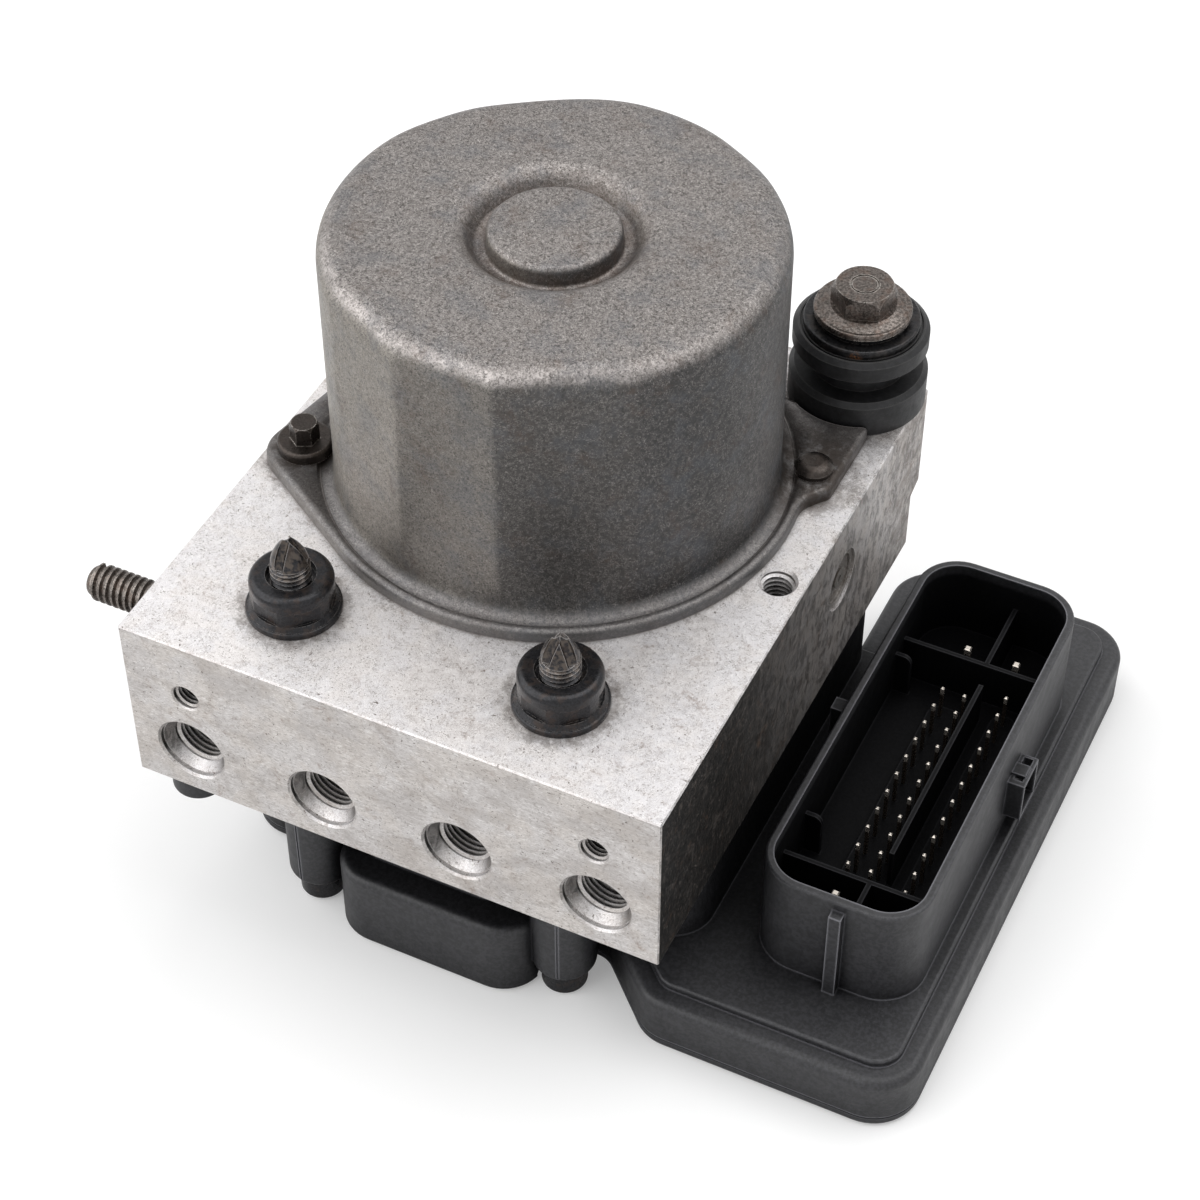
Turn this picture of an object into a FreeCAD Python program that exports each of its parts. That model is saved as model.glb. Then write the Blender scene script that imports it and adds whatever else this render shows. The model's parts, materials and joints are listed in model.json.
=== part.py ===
import FreeCAD, Part
import math
import os

Vec = FreeCAD.Vector
X_AXIS = Vec(1, 0, 0)
Y_AXIS = Vec(0, 1, 0)
Z_AXIS = Vec(0, 0, 1)

# All lengths are millimetres. The model is drawn from the valve block's lower front left
# corner, with X to the right, Y to the back and Z up, and moved to its own frame on export.

# Fits
fit_gap = 0.05            # fixed pieces in their seats, on the radius
running_gap = 0.03        # sliding and turning pieces in their bores, on the radius
seat_gap = 0.3            # moving pieces from the stops they rest against
over = 1.0                # how far a cutting tool runs past the face it opens

# Valve block
block_width = 100.0
block_depth = 114.7
block_height = 35.6
block_edge = 0.25
rebate_depth = 3.9        # step along the lower rear edge
rebate_height = 12.2
rebate_rise = 1.4         # its roof slopes up to the rear face

# Brake line ports in the front face
port_count = 4
port_from_side = 11.45     # outermost port to the block's side
port_height = 10.0
port_mouth_d = 13.4
port_mouth_bevel = 0.4
port_step_depth = 1.1
port_cone_d = 12.2         # lead-in from the step to the thread
port_cone_depth = 1.8
port_thread_d = 10.0
port_thread_depth = 14.0
port_seat_depth = 2.6
gallery_d = 3.0

# Bracket holes, one each side above the ports
bracket_hole_d = 5.0
bracket_hole_depth = 10.0
bracket_hole_from_side = 11.8
bracket_hole_height = 23.3
bracket_hole_mouth_d = 5.6

# Threaded hole in the top face
top_hole_d = 6.0
top_hole_depth = 12.0
top_hole_mouth_d = 7.0
top_hole_from_right = 5.0
top_hole_from_front = 57.5

# Threaded stud in the left face
stud_d = 6.9
stud_reach = 20.0
stud_embed = 12.0
stud_from_front = 20.0
stud_height = 20.0
stud_point = 0.8
stud_root_d = 6.3         # the part inside the block
stud_seat_d = 14.0        # spot face round it
stud_seat = 0.4

# Motor and its can
motor_left_of_middle = 1.5
motor_from_front = 67.5
can_from_left = 9.3       # block's left face to the can's side
can_height = 52.8
can_wall = 2.2
can_top_round = 4.2
can_root_round = 2.2
rim_round = 1.0           # bead along the flange's upper edge
rim_width = 1.5
rim_height = 0.9
button_radius = 11.3      # round boss in the middle of the top
button_groove_width = 1.9
button_groove_slope = 2.6
button_groove_depth = 3.7
button_round = 1.1
groove_round = 2.0
flange_reach = 4.5        # beyond the can
flange_thickness = 2.5
left_ear_angle = 203.3     # about the motor axis, from the right-hand side
left_ear_beyond = 0.7     # bolt circle outside the flange's edge
left_ear_radius = 7.0
right_ear_angle = 20.7
right_ear_beyond = 1.2
ear_tab_right = 4.9       # right ear's straight side, in from the block's
ear_tab_front = 80.0      # its corners, back from the block's front
ear_tab_rear = 99.0
ear_tab_corner = 1.5
ear_tab_rear_corner = 2.5
ear_tab_hollow = 6.0
ear_tab_root_front = 66.5
ear_tab_root_back = 99.0
ear_tab_neck = 75.8
ear_tab_neck_in = 3.3     # in from the straight side

# Motor bolts
motor_bolt_d = 4.0
motor_bolt_embed = 8.0
motor_bolt_collar_d = 10.0
motor_bolt_collar = 2.1
motor_bolt_flats = 4.6
motor_bolt_head = 3.7
motor_bolt_turn = 25.8
button_head_d = 6.9       # the right-hand bolt's low round head
button_head_rim = 0.9
button_head_dome = 1.1
motor_bolt_clear = 0.15    # round the collars, where the can's foot is cut back

# Motor seal ring
seal_inside_rim = 3.0
seal_section = 1.8
seal_squeeze = 0.15

# Long screws and their flange nuts
screw_from_left = 24.2
screw_from_right = 25.9
screw_from_front = 17.0
screw_d = 6.9
screw_bore_d = 7.4
screw_head_d = 8.4
screw_head_height = 5.4
screw_head_round = 0.6
screw_collar_d = 9.4
screw_collar = 0.6
screw_root_d = 5.9        # between the nut and the point, where the thread shows
screw_head_clear = 0.25   # round the heads, where the bay is cut back
screw_socket_flats = 4.0
screw_socket_depth = 3.0
screw_above_nut = 2.8     # thread above the nut's top face
screw_point = 4.9
screw_point_tip_d = 1.7
screw_flutes = ((3, 1.9), (4, 2.1))    # number and width on each screw's point
nut_flats = 13.4
nut_height = 7.7
nut_flange_d = 16.4
nut_flange_edge = 1.1
nut_flange_round = 0.45
nut_flange_height = 2.0
nut_corner_d = 14.4       # the hexagon's corners are turned down to this
nut_cap_height = 2.6      # round cap over the hexagon
nut_cap_round = 1.3
nut_cap_bevel = 0.5        # under the cap, back to the flats
nut_recess_d = 8.6
nut_recess_depth = 1.6
nut_turns = (48.0, 45.5)

# Rubber mounting bush
bush_from_right = 11.7
bush_from_front = 108.8
bush_lower_d = 25.0
bush_lower_height = 7.0
bush_neck_d = 17.0
bush_neck_height = 4.3
bush_upper_d = 24.4
bush_upper_height = 4.7
bush_bevel = 0.9
bush_lip_d = 21.2         # groove in the top, outside the sleeve's collar
bush_lip_width = 0.4
bush_lip_depth = 0.5
bush_clear = 0.5          # cut out of the motor flange
sleeve_d = 9.0
sleeve_collar_d = 20.8
sleeve_collar = 2.7
sleeve_collar_round = 0.4
sleeve_hub_d = 16.2        # the collar steps up to this under the washer
sleeve_hub = 1.2
mount_washer_d = 17.5
mount_washer = 1.7
mount_washer_rim = 1.1    # thinner towards the rim, with its edge rounded
mount_washer_round = 0.4
mount_bolt_d = 6.0
mount_bolt_embed = 14.0
mount_bolt_flats = 10.2
mount_bolt_head = 4.1
mount_bolt_turn = 19.0
mount_bolt_mark_d = 5.2
mount_bolt_mark = 0.3

# Locating plug under the front left corner
plug_from_left = 8.5
plug_from_front = 5.2
plug_d = 9.7
plug_height = 4.5
plug_stem_d = 4.0
plug_stem = 3.2

# Eccentric chamber, rotor bearings and pump
chamber_radius = 10.0
lower_bearing_radius = 11.0
lower_bearing_height = 7.0
upper_bearing_radius = 9.4
upper_bearing_height = 5.0
shaft_radius = 4.0
shaft_top_radius = 3.0
eccentric_radius = 5.0
eccentric_offset = 0.8
eccentric_ring_radius = 8.0
eccentric_ring_height = 7.6
pump_height = 13.0        # plunger axis above the block's bottom face
chamber_below_pump = 6.0
plunger_radius = 4.0
plunger_length = 16.0
plunger_tail_radius = 2.3
plunger_tail = 3.0
plunger_clear = 0.2       # from the eccentric ring at its nearest
pump_spring_wire = 0.7
pump_spring_length = 9.4
pump_plug_radius = 5.0
pump_plug_recess = 1.2

# Low pressure accumulators
store_from_front = 75.9
store_height = 21.7
store_radius = 5.0
store_depth = 26.0
store_cap_radius = 5.85
store_cap = 4.0
store_cap_sunk = 0.5
store_cap_ring = 1.1
store_cap_dimple = 1.8
store_piston = 7.0
store_spring_wire = 0.8

# Solenoid valves: two rows of four
valve_columns = 4
inlet_row_from_front = 35.5
outlet_row_from_front = 53.0
valve_radius = 4.5
valve_depth = 15.5
valve_nose_radius = 3.4
valve_nose = 1.5
dome_radius = 3.6
dome_wall = 0.5
dome_length = 22.0
armature_length = 11.0
armature_travel = 0.5
needle_radius = 0.8
needle_reach = 17.0
coil_radius = 8.3
coil_side_gap = 1.2       # outer coils to the box wall
coil_winding_radius = 7.5
coil_flange = 1.6
coil_height = 20.0
coil_top_gap = 1.8
coil_pin_radius = 0.45
coil_pin_spread = 5.6

# Electronics housing under the block
housing_depth = 38.0      # block's bottom face to the base
wall = 2.5
cover_height = 2.4
cover_floor = 1.5
seam_height = 0.35        # shallow step round the cover's upper edge
seam_depth = 0.3
box_side_inset = 3.5      # box walls in from the block's sides
box_front = 23.5
box_back = 108.0
box_corner = 8.0
wing_overlap = 5.5        # the wing's left edge in under the block
wing_beyond_shroud = 6.1
wing_front = 10.5
wing_back = 132.5
wing_corner = 9.0
wing_height = 12.0
wing_skew_start = 7.0     # the wing's front slopes back to the box between these,
wing_skew_end = 20.5      # measured in from the block's right side
wing_skew_corner = 8.0
wing_skew_hollow = 5.0
wing_root = 30.0          # the wing runs this far in under the coil box
wing_root_back = 104.2
wing_edge_round = 1.7
base_edge_round = 1.2
panel_rise = 1.5
panel_inset = 3.8
panel_skin = 3.0
panel_round = 0.6
bay_left_of_middle = 19.8
bay_right_of_middle = 20.2
bay_front = 8.4
bay_top = 20.8            # below the block's bottom face
bay_corner = 8.0
bay_wall = 2.2
bay_round = 1.6
bay_step = 6.0
bay_step_right = 4.0
boss_radius = 5.9
boss_bottom = 32.3        # below the block's bottom face
boss_round = 1.5
boss_line_angles = (261.0, 284.0)      # parting line down each boss
boss_line_width = 0.35
boss_line_depth = 0.18
rear_screw_inset_x = 11.0
rear_screw_inset_y = 9.0
rear_boss_radius = 5.0
rear_boss_height = 10.0
rear_screw_d = 5.0
rear_screw_embed = 9.0
rear_screw_head_d = 8.4
rear_screw_head = 3.0
housing_seal_width = 1.2
housing_seal_height = 1.2

# Plug connector on the wing
shroud_from_block = 4.9
shroud_width = 30.5
shroud_front = 26.5
shroud_back = 113.5
shroud_corner = 8.5
shroud_wall = 1.5
shroud_round = 0.5
shroud_rim = 2.0          # below the block's bottom face
socket_floor = 18.5       # below the block's bottom face
socket_skin = 2.5
rib_top = 9.0             # below the block's bottom face
rib_thickness = 0.9
cross_rib_front = 38.6
cross_rib_back = 96.0
row_rib_in = 18.7         # in from the shroud's left side
row_rib_front = 46.2
row_rib_back = 90.8
end_rib_in = 17.7
side_rib_reach = 3.2
side_rib_round = 1.6
plinth_height = 0.8       # raised floor round the pin rows
plinth_margin = 2.4
side_rib_front = 48.5
side_rib_back = 91.6
front_key_in = 16.5
front_key_width = 2.3
front_key_depth = 1.9
front_key_drop = 2.0
latch_front = 73.2
latch_length = 7.6
latch_reach = 3.3
latch_top = 12.0          # below the block's bottom face
latch_height = 9.0
latch_frame = 0.6         # round the opening in its side
latch_back_wall = 0.8
latch_hole_length = 2.1   # square hole through its roof, at the rear
latch_hole_width = 1.7
latch_slot = 0.9          # slot across its roof, near the front
latch_ridge = 0.5         # raised band between them
side_block_front = 70.0
side_block_length = 3.0
side_block_reach = 3.0
side_block_top = 5.0
side_block_height = 9.0

# Contact pins
pin_width = 0.64
pin_tip = 10.0            # below the block's bottom face
pin_bevel = 0.18
pin_pitch = 4.6
row_a_in = 12.3           # in from the shroud's left side
row_b_in = 16.6
row_c_from_right = 6.8
row_ab_first = 42.0
row_ab_count = 11
row_c_first = 40.2
row_c_count = 12
power_pin_width = 1.2
power_pin_in = 12.9
power_pin_pair = 9.6
power_pin_back = 99.6
power_pin_front = 34.7

# Circuit board
board_thickness = 1.6
board_top = 31.0          # below the block's bottom face
board_margin = 4.5
board_post_radius = 2.2
chip_from_front = 66.0
chip_side = 16.0
chip_height = 1.8
capacitor_radius = 5.6
capacitor_length = 24.0
capacitor_lead_radius = 0.5
capacitor_lead_spread = 8.0

# Motor insides
magnet_thickness = 12.15
magnet_span = 124.0
magnet_angle = 90.0
magnet_count = 2
magnet_overhang = 4.0     # beyond the core, at each end
core_bottom = 22.0        # above the block's top face
core_to_bearing = 0.8     # windings to the upper bearing
air_gap = 1.6             # magnets to the core
slot_count = 10
slot_radius = 2.2
slot_inside_core = 5.5
winding_inner = 9.0
winding_inside_core = 2.4
winding_height = 4.5
commutator_bottom = 8.5
commutator_height = 6.6
commutator_radius = 8.5
segment_gap = 0.5
segment_depth = 0.8
holder_gap = 0.9
holder_plate = 2.6
holder_lift = 0.3
holder_hole = 12.0
holder_wall = 1.2
holder_reach = 25.2
brush_width = 4.4
brush_length = 9.0
brush_travel = 2.0
brush_spring_wire = 0.5
lead_inside_holder = 7.4
lead_radius = 4.5
lead_tail = 8.0
lead_pin_radius = 0.8
lead_pin_spread = 4.0

# Derived places
top = block_height
base = -housing_depth
mid_x = block_width / 2
motor_x = mid_x - motor_left_of_middle
motor_y = motor_from_front
can_radius = motor_x - can_from_left
flange_radius = can_radius + flange_reach
rim_inner_radius = flange_radius - rim_width
left_ear_reach = flange_radius + left_ear_beyond
right_ear_reach = flange_radius + right_ear_beyond
seal_radius = flange_radius - seal_inside_rim
holder_radius = can_radius - can_wall - holder_gap
screw_xs = [screw_from_left, block_width - screw_from_right]
bush_x = block_width - bush_from_right
port_pitch = (block_width - 2 * port_from_side) / (port_count - 1)
bracket_hole_spacing = block_width - 2 * bracket_hole_from_side
box_left = box_side_inset
box_right = block_width - box_side_inset
coil_inset = wall + coil_side_gap + coil_radius
valve_pitch = (box_right - box_left - 2 * coil_inset) / (valve_columns - 1)
bay_left = mid_x - bay_left_of_middle
bay_right = mid_x + bay_right_of_middle
shroud_left = block_width + shroud_from_block
shroud_right = shroud_left + shroud_width
flange_left = block_width - wing_overlap
wing_right = shroud_right + wing_beyond_shroud
wing_skew_left = block_width - wing_skew_end
wing_skew_right = block_width - wing_skew_start
wing_root_left = block_width - wing_root
row_rib_x = shroud_left + row_rib_in
end_rib_x = shroud_left + end_rib_in
front_key_x = shroud_left + front_key_in
row_a_x = shroud_left + row_a_in
row_b_x = shroud_left + row_b_in
row_c_x = shroud_right - row_c_from_right
power_pin_x = shroud_left + power_pin_in
port_xs = [mid_x + (i - (port_count - 1) / 2) * port_pitch for i in range(port_count)]
valve_xs = [mid_x + (i - (valve_columns - 1) / 2) * valve_pitch for i in range(valve_columns)]
stop_to_plunger = eccentric_ring_radius + eccentric_offset + plunger_clear
pump_spring_start = stop_to_plunger + plunger_length
pump_spring_end = pump_spring_start + pump_spring_length
cover_top = base + cover_height
wing_top = base + wing_height
panel_top = wing_top + panel_rise
board_under = -board_top - board_thickness
nut_top = top + nut_height
bearing_bottom = top + can_height - can_wall - seat_gap - upper_bearing_height
core_height = bearing_bottom - top - core_bottom - winding_height - core_to_bearing
magnet_bottom = core_bottom - magnet_overhang
magnet_inner = can_radius - can_wall - fit_gap - magnet_thickness
core_radius = magnet_inner - air_gap
slot_centre = core_radius - slot_inside_core
winding_outer = core_radius - winding_inside_core
lead_from_axis = holder_radius - lead_inside_holder
magnet_height = core_height + 2 * magnet_overhang


def box(x0, x1, y0, y1, z0, z1):
    return Part.makeBox(x1 - x0, y1 - y0, z1 - z0, Vec(x0, y0, z0))


def cyl(radius, length, x, y, z, axis=Z_AXIS):
    return Part.makeCylinder(radius, length, Vec(x, y, z), axis)


def cone(r_start, r_end, length, x, y, z, axis=Z_AXIS):
    return Part.makeCone(r_start, r_end, length, Vec(x, y, z), axis)


def join(first, *others):
    return first.fuse(list(others)).removeSplitter()


def upright_edges(shape):
    picked = []
    for edge in shape.Edges:
        if len(edge.Vertexes) == 2:
            run = edge.Vertexes[1].Point - edge.Vertexes[0].Point
            if abs(run.z) > 1e-6 and math.hypot(run.x, run.y) < 1e-6:
                picked.append(edge)
    return picked


def rounded_box(x0, x1, y0, y1, z0, z1, radius):
    """A box whose upright corners are rounded."""
    block = box(x0, x1, y0, y1, z0, z1)
    radius = min(radius, 0.49 * (x1 - x0), 0.49 * (y1 - y0))
    return block.makeFillet(radius, upright_edges(block))


def edges_at(shape, test):
    """Edges whose every vertex, and middle, pass the test."""
    picked = []
    for edge in shape.Edges:
        points = [v.Point for v in edge.Vertexes]
        points.append(edge.valueAt((edge.FirstParameter + edge.LastParameter) / 2))
        if all(test(p) for p in points):
            picked.append(edge)
    return picked


def hexagon(flats, height, x, y, z, turn=0.0):
    radius = flats / math.sqrt(3)
    points = []
    for i in range(7):
        a = math.radians(60 * i + turn)
        points.append(Vec(x + radius * math.cos(a), y + radius * math.sin(a), z))
    return Part.Face(Part.makePolygon(points)).extrude(Vec(0, 0, height))


def turned(points, x, y):
    """A solid of revolution about the upright line at x, y, from (radius, height) points."""
    outline = [Vec(x + r, y, z) for r, z in points]
    outline.append(outline[0])
    return Part.Face(Part.makePolygon(outline)).revolve(Vec(x, y, 0), Z_AXIS, 360)


def turned_smooth(points, floor, x, y):
    """A solid of revolution under a smooth outside through (radius, height) points, on a flat floor."""
    outside = Part.BSplineCurve()
    outside.interpolate([Vec(x + r, y, z) for r, z in points])
    first, last = points[0], points[-1]
    path = [Vec(x + last[0], y, last[1]), Vec(x, y, last[1]), Vec(x, y, floor), Vec(x + first[0], y, floor)]
    if first[1] > floor:
        path.append(Vec(x + first[0], y, first[1]))
    edges = [outside.toShape()] + [Part.makeLine(a, b) for a, b in zip(path, path[1:])]
    return Part.Face(Part.Wire(edges)).revolve(Vec(x, y, 0), Z_AXIS, 360)


def ring(outer, inner, height, x, y, z):
    return cyl(outer, height, x, y, z).cut(cyl(inner, height + 2 * over, x, y, z - over))


def disc_hull(x0, y0, r0, x1, y1, r1, z, height):
    """Two discs and the straight sides that touch both."""
    distance = math.hypot(x1 - x0, y1 - y0)
    heading = math.atan2(y1 - y0, x1 - x0)
    spread = math.acos((r0 - r1) / distance)
    corners = []
    for side in (1, -1):
        a = heading + side * spread
        touch = [Vec(x0 + r0 * math.cos(a), y0 + r0 * math.sin(a), z),
                 Vec(x1 + r1 * math.cos(a), y1 + r1 * math.sin(a), z)]
        corners.extend(touch if side == 1 else reversed(touch))
    corners.append(corners[0])
    web = Part.Face(Part.makePolygon(corners)).extrude(Vec(0, 0, height))
    return join(cyl(r0, height, x0, y0, z), cyl(r1, height, x1, y1, z), web)


def coil_spring(wire_d, mean_radius, length, pitch, start, heading):
    """A coil spring that fills the stated length from start along heading."""
    rise = length - wire_d
    turns = max(3, round(rise / pitch))
    helix = Part.makeHelix(rise / turns, rise, mean_radius)
    section = Part.Wire(Part.makeCircle(wire_d / 2, Vec(mean_radius, 0, 0), Y_AXIS))
    spring = Part.Wire(helix.Edges).makePipeShell([section], True, True)
    spring.translate(Vec(0, 0, wire_d / 2))
    turn = FreeCAD.Placement(start, FreeCAD.Rotation(Z_AXIS, heading))
    spring.Placement = turn.multiply(spring.Placement)
    return spring


def rebate_cut():
    near = block_depth - rebate_depth
    far = block_depth + over
    roof = rebate_height + rebate_rise * (1 + over / rebate_depth)
    outline = [Vec(-over, near, -over), Vec(-over, far, -over),
               Vec(-over, far, roof), Vec(-over, near, rebate_height)]
    outline.append(outline[0])
    return Part.Face(Part.makePolygon(outline)).extrude(Vec(block_width + 2 * over, 0, 0))


def port_cut(x):
    """Stepped and threaded mouth, cone seat and drilling of one brake line port."""
    z = port_height
    mouth = port_mouth_d / 2
    step = mouth - port_mouth_bevel
    thread = port_thread_d / 2
    drill = gallery_d / 2
    seat_start = port_thread_depth
    reach = outlet_row_from_front - seat_start - port_seat_depth
    pieces = [
        cone(mouth + over, step, over + port_mouth_bevel, x, -over, z, Y_AXIS),
        cyl(step, port_step_depth, x, 0, z, Y_AXIS),
        cone(port_cone_d / 2, thread, port_cone_depth, x, port_step_depth, z, Y_AXIS),
        cyl(thread, port_thread_depth, x, 0, z, Y_AXIS),
        cone(thread, drill, port_seat_depth, x, seat_start, z, Y_AXIS),
        cyl(drill, reach, x, seat_start + port_seat_depth, z, Y_AXIS),
    ]
    return join(*pieces)


def threaded_cut(diameter, mouth_d, depth, x, y, z, axis):
    """A plain bore with a bevelled mouth and a drill point, going in along axis."""
    bevel = (mouth_d - diameter) / 2
    start = Vec(x, y, z)
    out = start - axis * over
    end = start + axis * depth
    radius = diameter / 2
    bore = Part.makeCylinder(radius, depth + over, out, axis)
    mouth = Part.makeCone(mouth_d / 2 + over, radius, over + bevel, out, axis)
    point = Part.makeCone(radius, 0, radius * 0.6, end, axis)
    return join(bore, mouth, point)


def make_valve_body():
    body = box(0, block_width, 0, block_depth, 0, top)
    body = body.makeChamfer(block_edge, body.Edges)
    cuts = [rebate_cut()]
    cuts.extend(port_cut(x) for x in port_xs)
    for side in (-1, 1):
        x = mid_x + side * bracket_hole_spacing / 2
        cuts.append(threaded_cut(bracket_hole_d, bracket_hole_mouth_d, bracket_hole_depth,
                                 x, 0, bracket_hole_height, Y_AXIS))
    cuts.append(threaded_cut(top_hole_d, top_hole_mouth_d, top_hole_depth,
                             block_width - top_hole_from_right, top_hole_from_front, top, -Z_AXIS))
    cuts.append(cyl(stud_root_d / 2 + fit_gap, stud_embed + over,
                    -over, stud_from_front, stud_height, X_AXIS))
    cuts.append(cyl(stud_seat_d / 2, stud_seat + over, -over, stud_from_front, stud_height, X_AXIS))
    for x in screw_xs:
        cuts.append(cyl(screw_bore_d / 2, top + 2 * over, x, screw_from_front, -over))
    for x, y in ear_places():
        cuts.append(cyl(motor_bolt_d / 2 + fit_gap, motor_bolt_embed + over,
                        x, y, top - motor_bolt_embed))
    cuts.append(cyl(mount_bolt_d / 2 + fit_gap, mount_bolt_embed + over,
                    bush_x, bush_from_front, top - mount_bolt_embed))
    cuts.append(cyl(plug_stem_d / 2 + fit_gap, plug_stem + fit_gap + over,
                    plug_from_left, plug_from_front, -over))
    cuts.append(ring(seal_radius + seal_section / 2 + fit_gap, seal_radius - seal_section / 2 - fit_gap,
                     seal_section, motor_x, motor_y, top - seal_section + seal_squeeze))
    cuts.append(cyl(lower_bearing_radius + fit_gap, lower_bearing_height + over,
                    motor_x, motor_y, top - lower_bearing_height))
    cuts.append(cyl(chamber_radius, top - pump_height + chamber_below_pump,
                    motor_x, motor_y, pump_height - chamber_below_pump))
    cuts.append(cyl(plunger_radius + running_gap, motor_x + pump_spring_end + seat_gap,
                    0, motor_y, pump_height, X_AXIS))
    cuts.append(cyl(pump_plug_radius + fit_gap, motor_x - pump_spring_end + over,
                    -over, motor_y, pump_height, X_AXIS))
    for face_x, inward in store_sides():
        start = face_x - inward * over
        cuts.append(cyl(store_radius, store_depth + over, start, store_from_front, store_height,
                        X_AXIS * inward))
        cuts.append(cyl(store_cap_radius + fit_gap, store_cap + over, start, store_from_front,
                        store_height, X_AXIS * inward))
    for x in valve_xs:
        for y in (inlet_row_from_front, outlet_row_from_front):
            cuts.append(cyl(valve_radius + fit_gap, valve_depth + valve_nose + over, x, y, -over))
    for x, y in rear_screw_places():
        cuts.append(cyl(rear_screw_d / 2 + fit_gap, rear_screw_embed + over, x, y, -over))
    cuts.append(cyl(lead_radius + fit_gap, top + 2 * over, motor_x, motor_y + lead_from_axis, -over))
    return body.cut(cuts).removeSplitter()


def ear_places():
    """The motor bolts' centres: the left ear, then the right one."""
    places = []
    for angle, reach in ((left_ear_angle, left_ear_reach), (right_ear_angle, right_ear_reach)):
        a = math.radians(angle)
        places.append((motor_x + reach * math.cos(a), motor_y + reach * math.sin(a)))
    return places


def rear_screw_places():
    y = box_back - rear_screw_inset_y
    return [(box_left + rear_screw_inset_x, y), (box_right - rear_screw_inset_x, y)]


def store_sides():
    """Each accumulator's face and its inward direction: left, then right."""
    return [(0, 1), (block_width, -1)]


def make_motor_housing():
    """The drawn can with its flange and two ears, as one piece."""
    can = cyl(can_radius, can_height, motor_x, motor_y, top)
    rim = edges_at(can, lambda p: abs(p.z - top - can_height) < 1e-6)
    can = can.makeFillet(can_top_round, rim)
    left_x, left_y = ear_places()[0]
    side = block_width - ear_tab_right
    tab = rounded_prism([
        (motor_x, ear_tab_root_front, 0),
        (motor_x + flange_radius - 0.3, ear_tab_root_front, 0),
        (side - ear_tab_neck_in, ear_tab_neck, ear_tab_hollow),
        (side, ear_tab_front, ear_tab_corner),
        (side, ear_tab_rear, ear_tab_rear_corner),
        (motor_x + 0.5 * flange_radius, ear_tab_root_back, 0),
        (motor_x, ear_tab_root_back, 0)], top, top + flange_thickness)
    plate = join(
        disc_hull(motor_x, motor_y, flange_radius, left_x, left_y, left_ear_radius, top, flange_thickness), tab)
    plate = soften(plate, rim_round, top + flange_thickness)
    step = top + flange_thickness - rim_height
    plate = plate.cut(cyl(rim_inner_radius, rim_height + over, motor_x, motor_y, step))
    root = cone(can_radius + can_root_round, can_radius, can_root_round, motor_x, motor_y, step)
    outside = join(can, plate, root)
    seat = top + flange_thickness
    for (x, y), head_d in zip(ear_places(), (motor_bolt_collar_d, button_head_d)):
        outside = outside.cut(cyl(head_d / 2 + motor_bolt_clear, can_root_round + over, x, y, seat))
    outside = outside.cut(cyl(bush_lower_d / 2 + bush_clear, bush_lower_height,
                              bush_x, bush_from_front, top - over))
    groove_top = top + can_height
    groove_floor = groove_top - button_groove_depth
    groove_outer = button_radius + button_groove_width
    groove = turned([(button_radius, groove_top + over), (button_radius, groove_floor),
                     (groove_outer, groove_floor),
                     (groove_outer + button_groove_slope, groove_top),
                     (groove_outer + button_groove_slope, groove_top + over)], motor_x, motor_y)
    outside = outside.cut(groove)
    for radius, rounding in ((button_radius, button_round),
                             (groove_outer + button_groove_slope, groove_round)):
        lip = edges_at(outside, lambda p: abs(p.z - groove_top) < 1e-4
                       and abs(math.hypot(p.x - motor_x, p.y - motor_y) - radius) < 0.1)
        outside = outside.makeFillet(rounding, lip)
    cavity = cyl(can_radius - can_wall, can_height - can_wall + over, motor_x, motor_y, top - over)
    ceiling = top + can_height - can_wall
    inner_rim = edges_at(cavity, lambda p: abs(p.z - ceiling) < 1e-6)
    cavity = cavity.makeFillet(can_top_round - can_wall, inner_rim)
    pocket_floor = groove_floor - can_wall
    kept = turned([(upper_bearing_radius + fit_gap, ceiling + over),
                   (upper_bearing_radius + fit_gap, pocket_floor),
                   (groove_outer + can_wall, pocket_floor),
                   (groove_outer + button_groove_slope + can_wall, ceiling),
                   (groove_outer + button_groove_slope + can_wall, ceiling + over)], motor_x, motor_y)
    housing = outside.cut(cavity.cut(kept))
    for x, y in ear_places():
        housing = housing.cut(cyl(motor_bolt_d / 2 + fit_gap, flange_thickness + 2 * over, x, y, top - over))
    return housing


def make_motor_bolts():
    """The left ear's hexagon bolt with its collar and the right ear's button-headed one."""
    seat = top + flange_thickness
    shanks = [cyl(motor_bolt_d / 2, motor_bolt_embed + flange_thickness, x, y, top - motor_bolt_embed)
              for x, y in ear_places()]
    x, y = ear_places()[0]
    collar = cyl(motor_bolt_collar_d / 2, motor_bolt_collar, x, y, seat)
    collar = soften(collar, 0.3 * motor_bolt_collar, seat + motor_bolt_collar)
    head = bevelled_hexagon(motor_bolt_flats, motor_bolt_head, x, y, seat + motor_bolt_collar, motor_bolt_turn)
    x, y = ear_places()[1]
    radius = button_head_d / 2
    crown = seat + button_head_rim + button_head_dome
    button = turned_smooth([(radius, seat + button_head_rim), (0.8 * radius, crown - 0.35 * button_head_dome),
                            (0.45 * radius, crown)], seat, x, y)
    return Part.makeCompound([join(shanks[0], collar, head), join(shanks[1], button)])


def bevelled_hexagon(flats, height, x, y, z, turn):
    """A hexagon head whose upper corners are turned off."""
    corner = flats / math.sqrt(3)
    crown = 0.5 * flats
    drop = 1.5 * (corner - crown)
    body = hexagon(flats, height, x, y, z, turn)
    envelope = join(cyl(corner, height - drop, x, y, z),
                    cone(corner, crown, drop, x, y, z + height - drop))
    return body.common(envelope)


def make_motor_seal():
    low = top - seal_section + seal_squeeze
    return ring(seal_radius + seal_section / 2, seal_radius - seal_section / 2,
                top - low, motor_x, motor_y, low)


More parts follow.
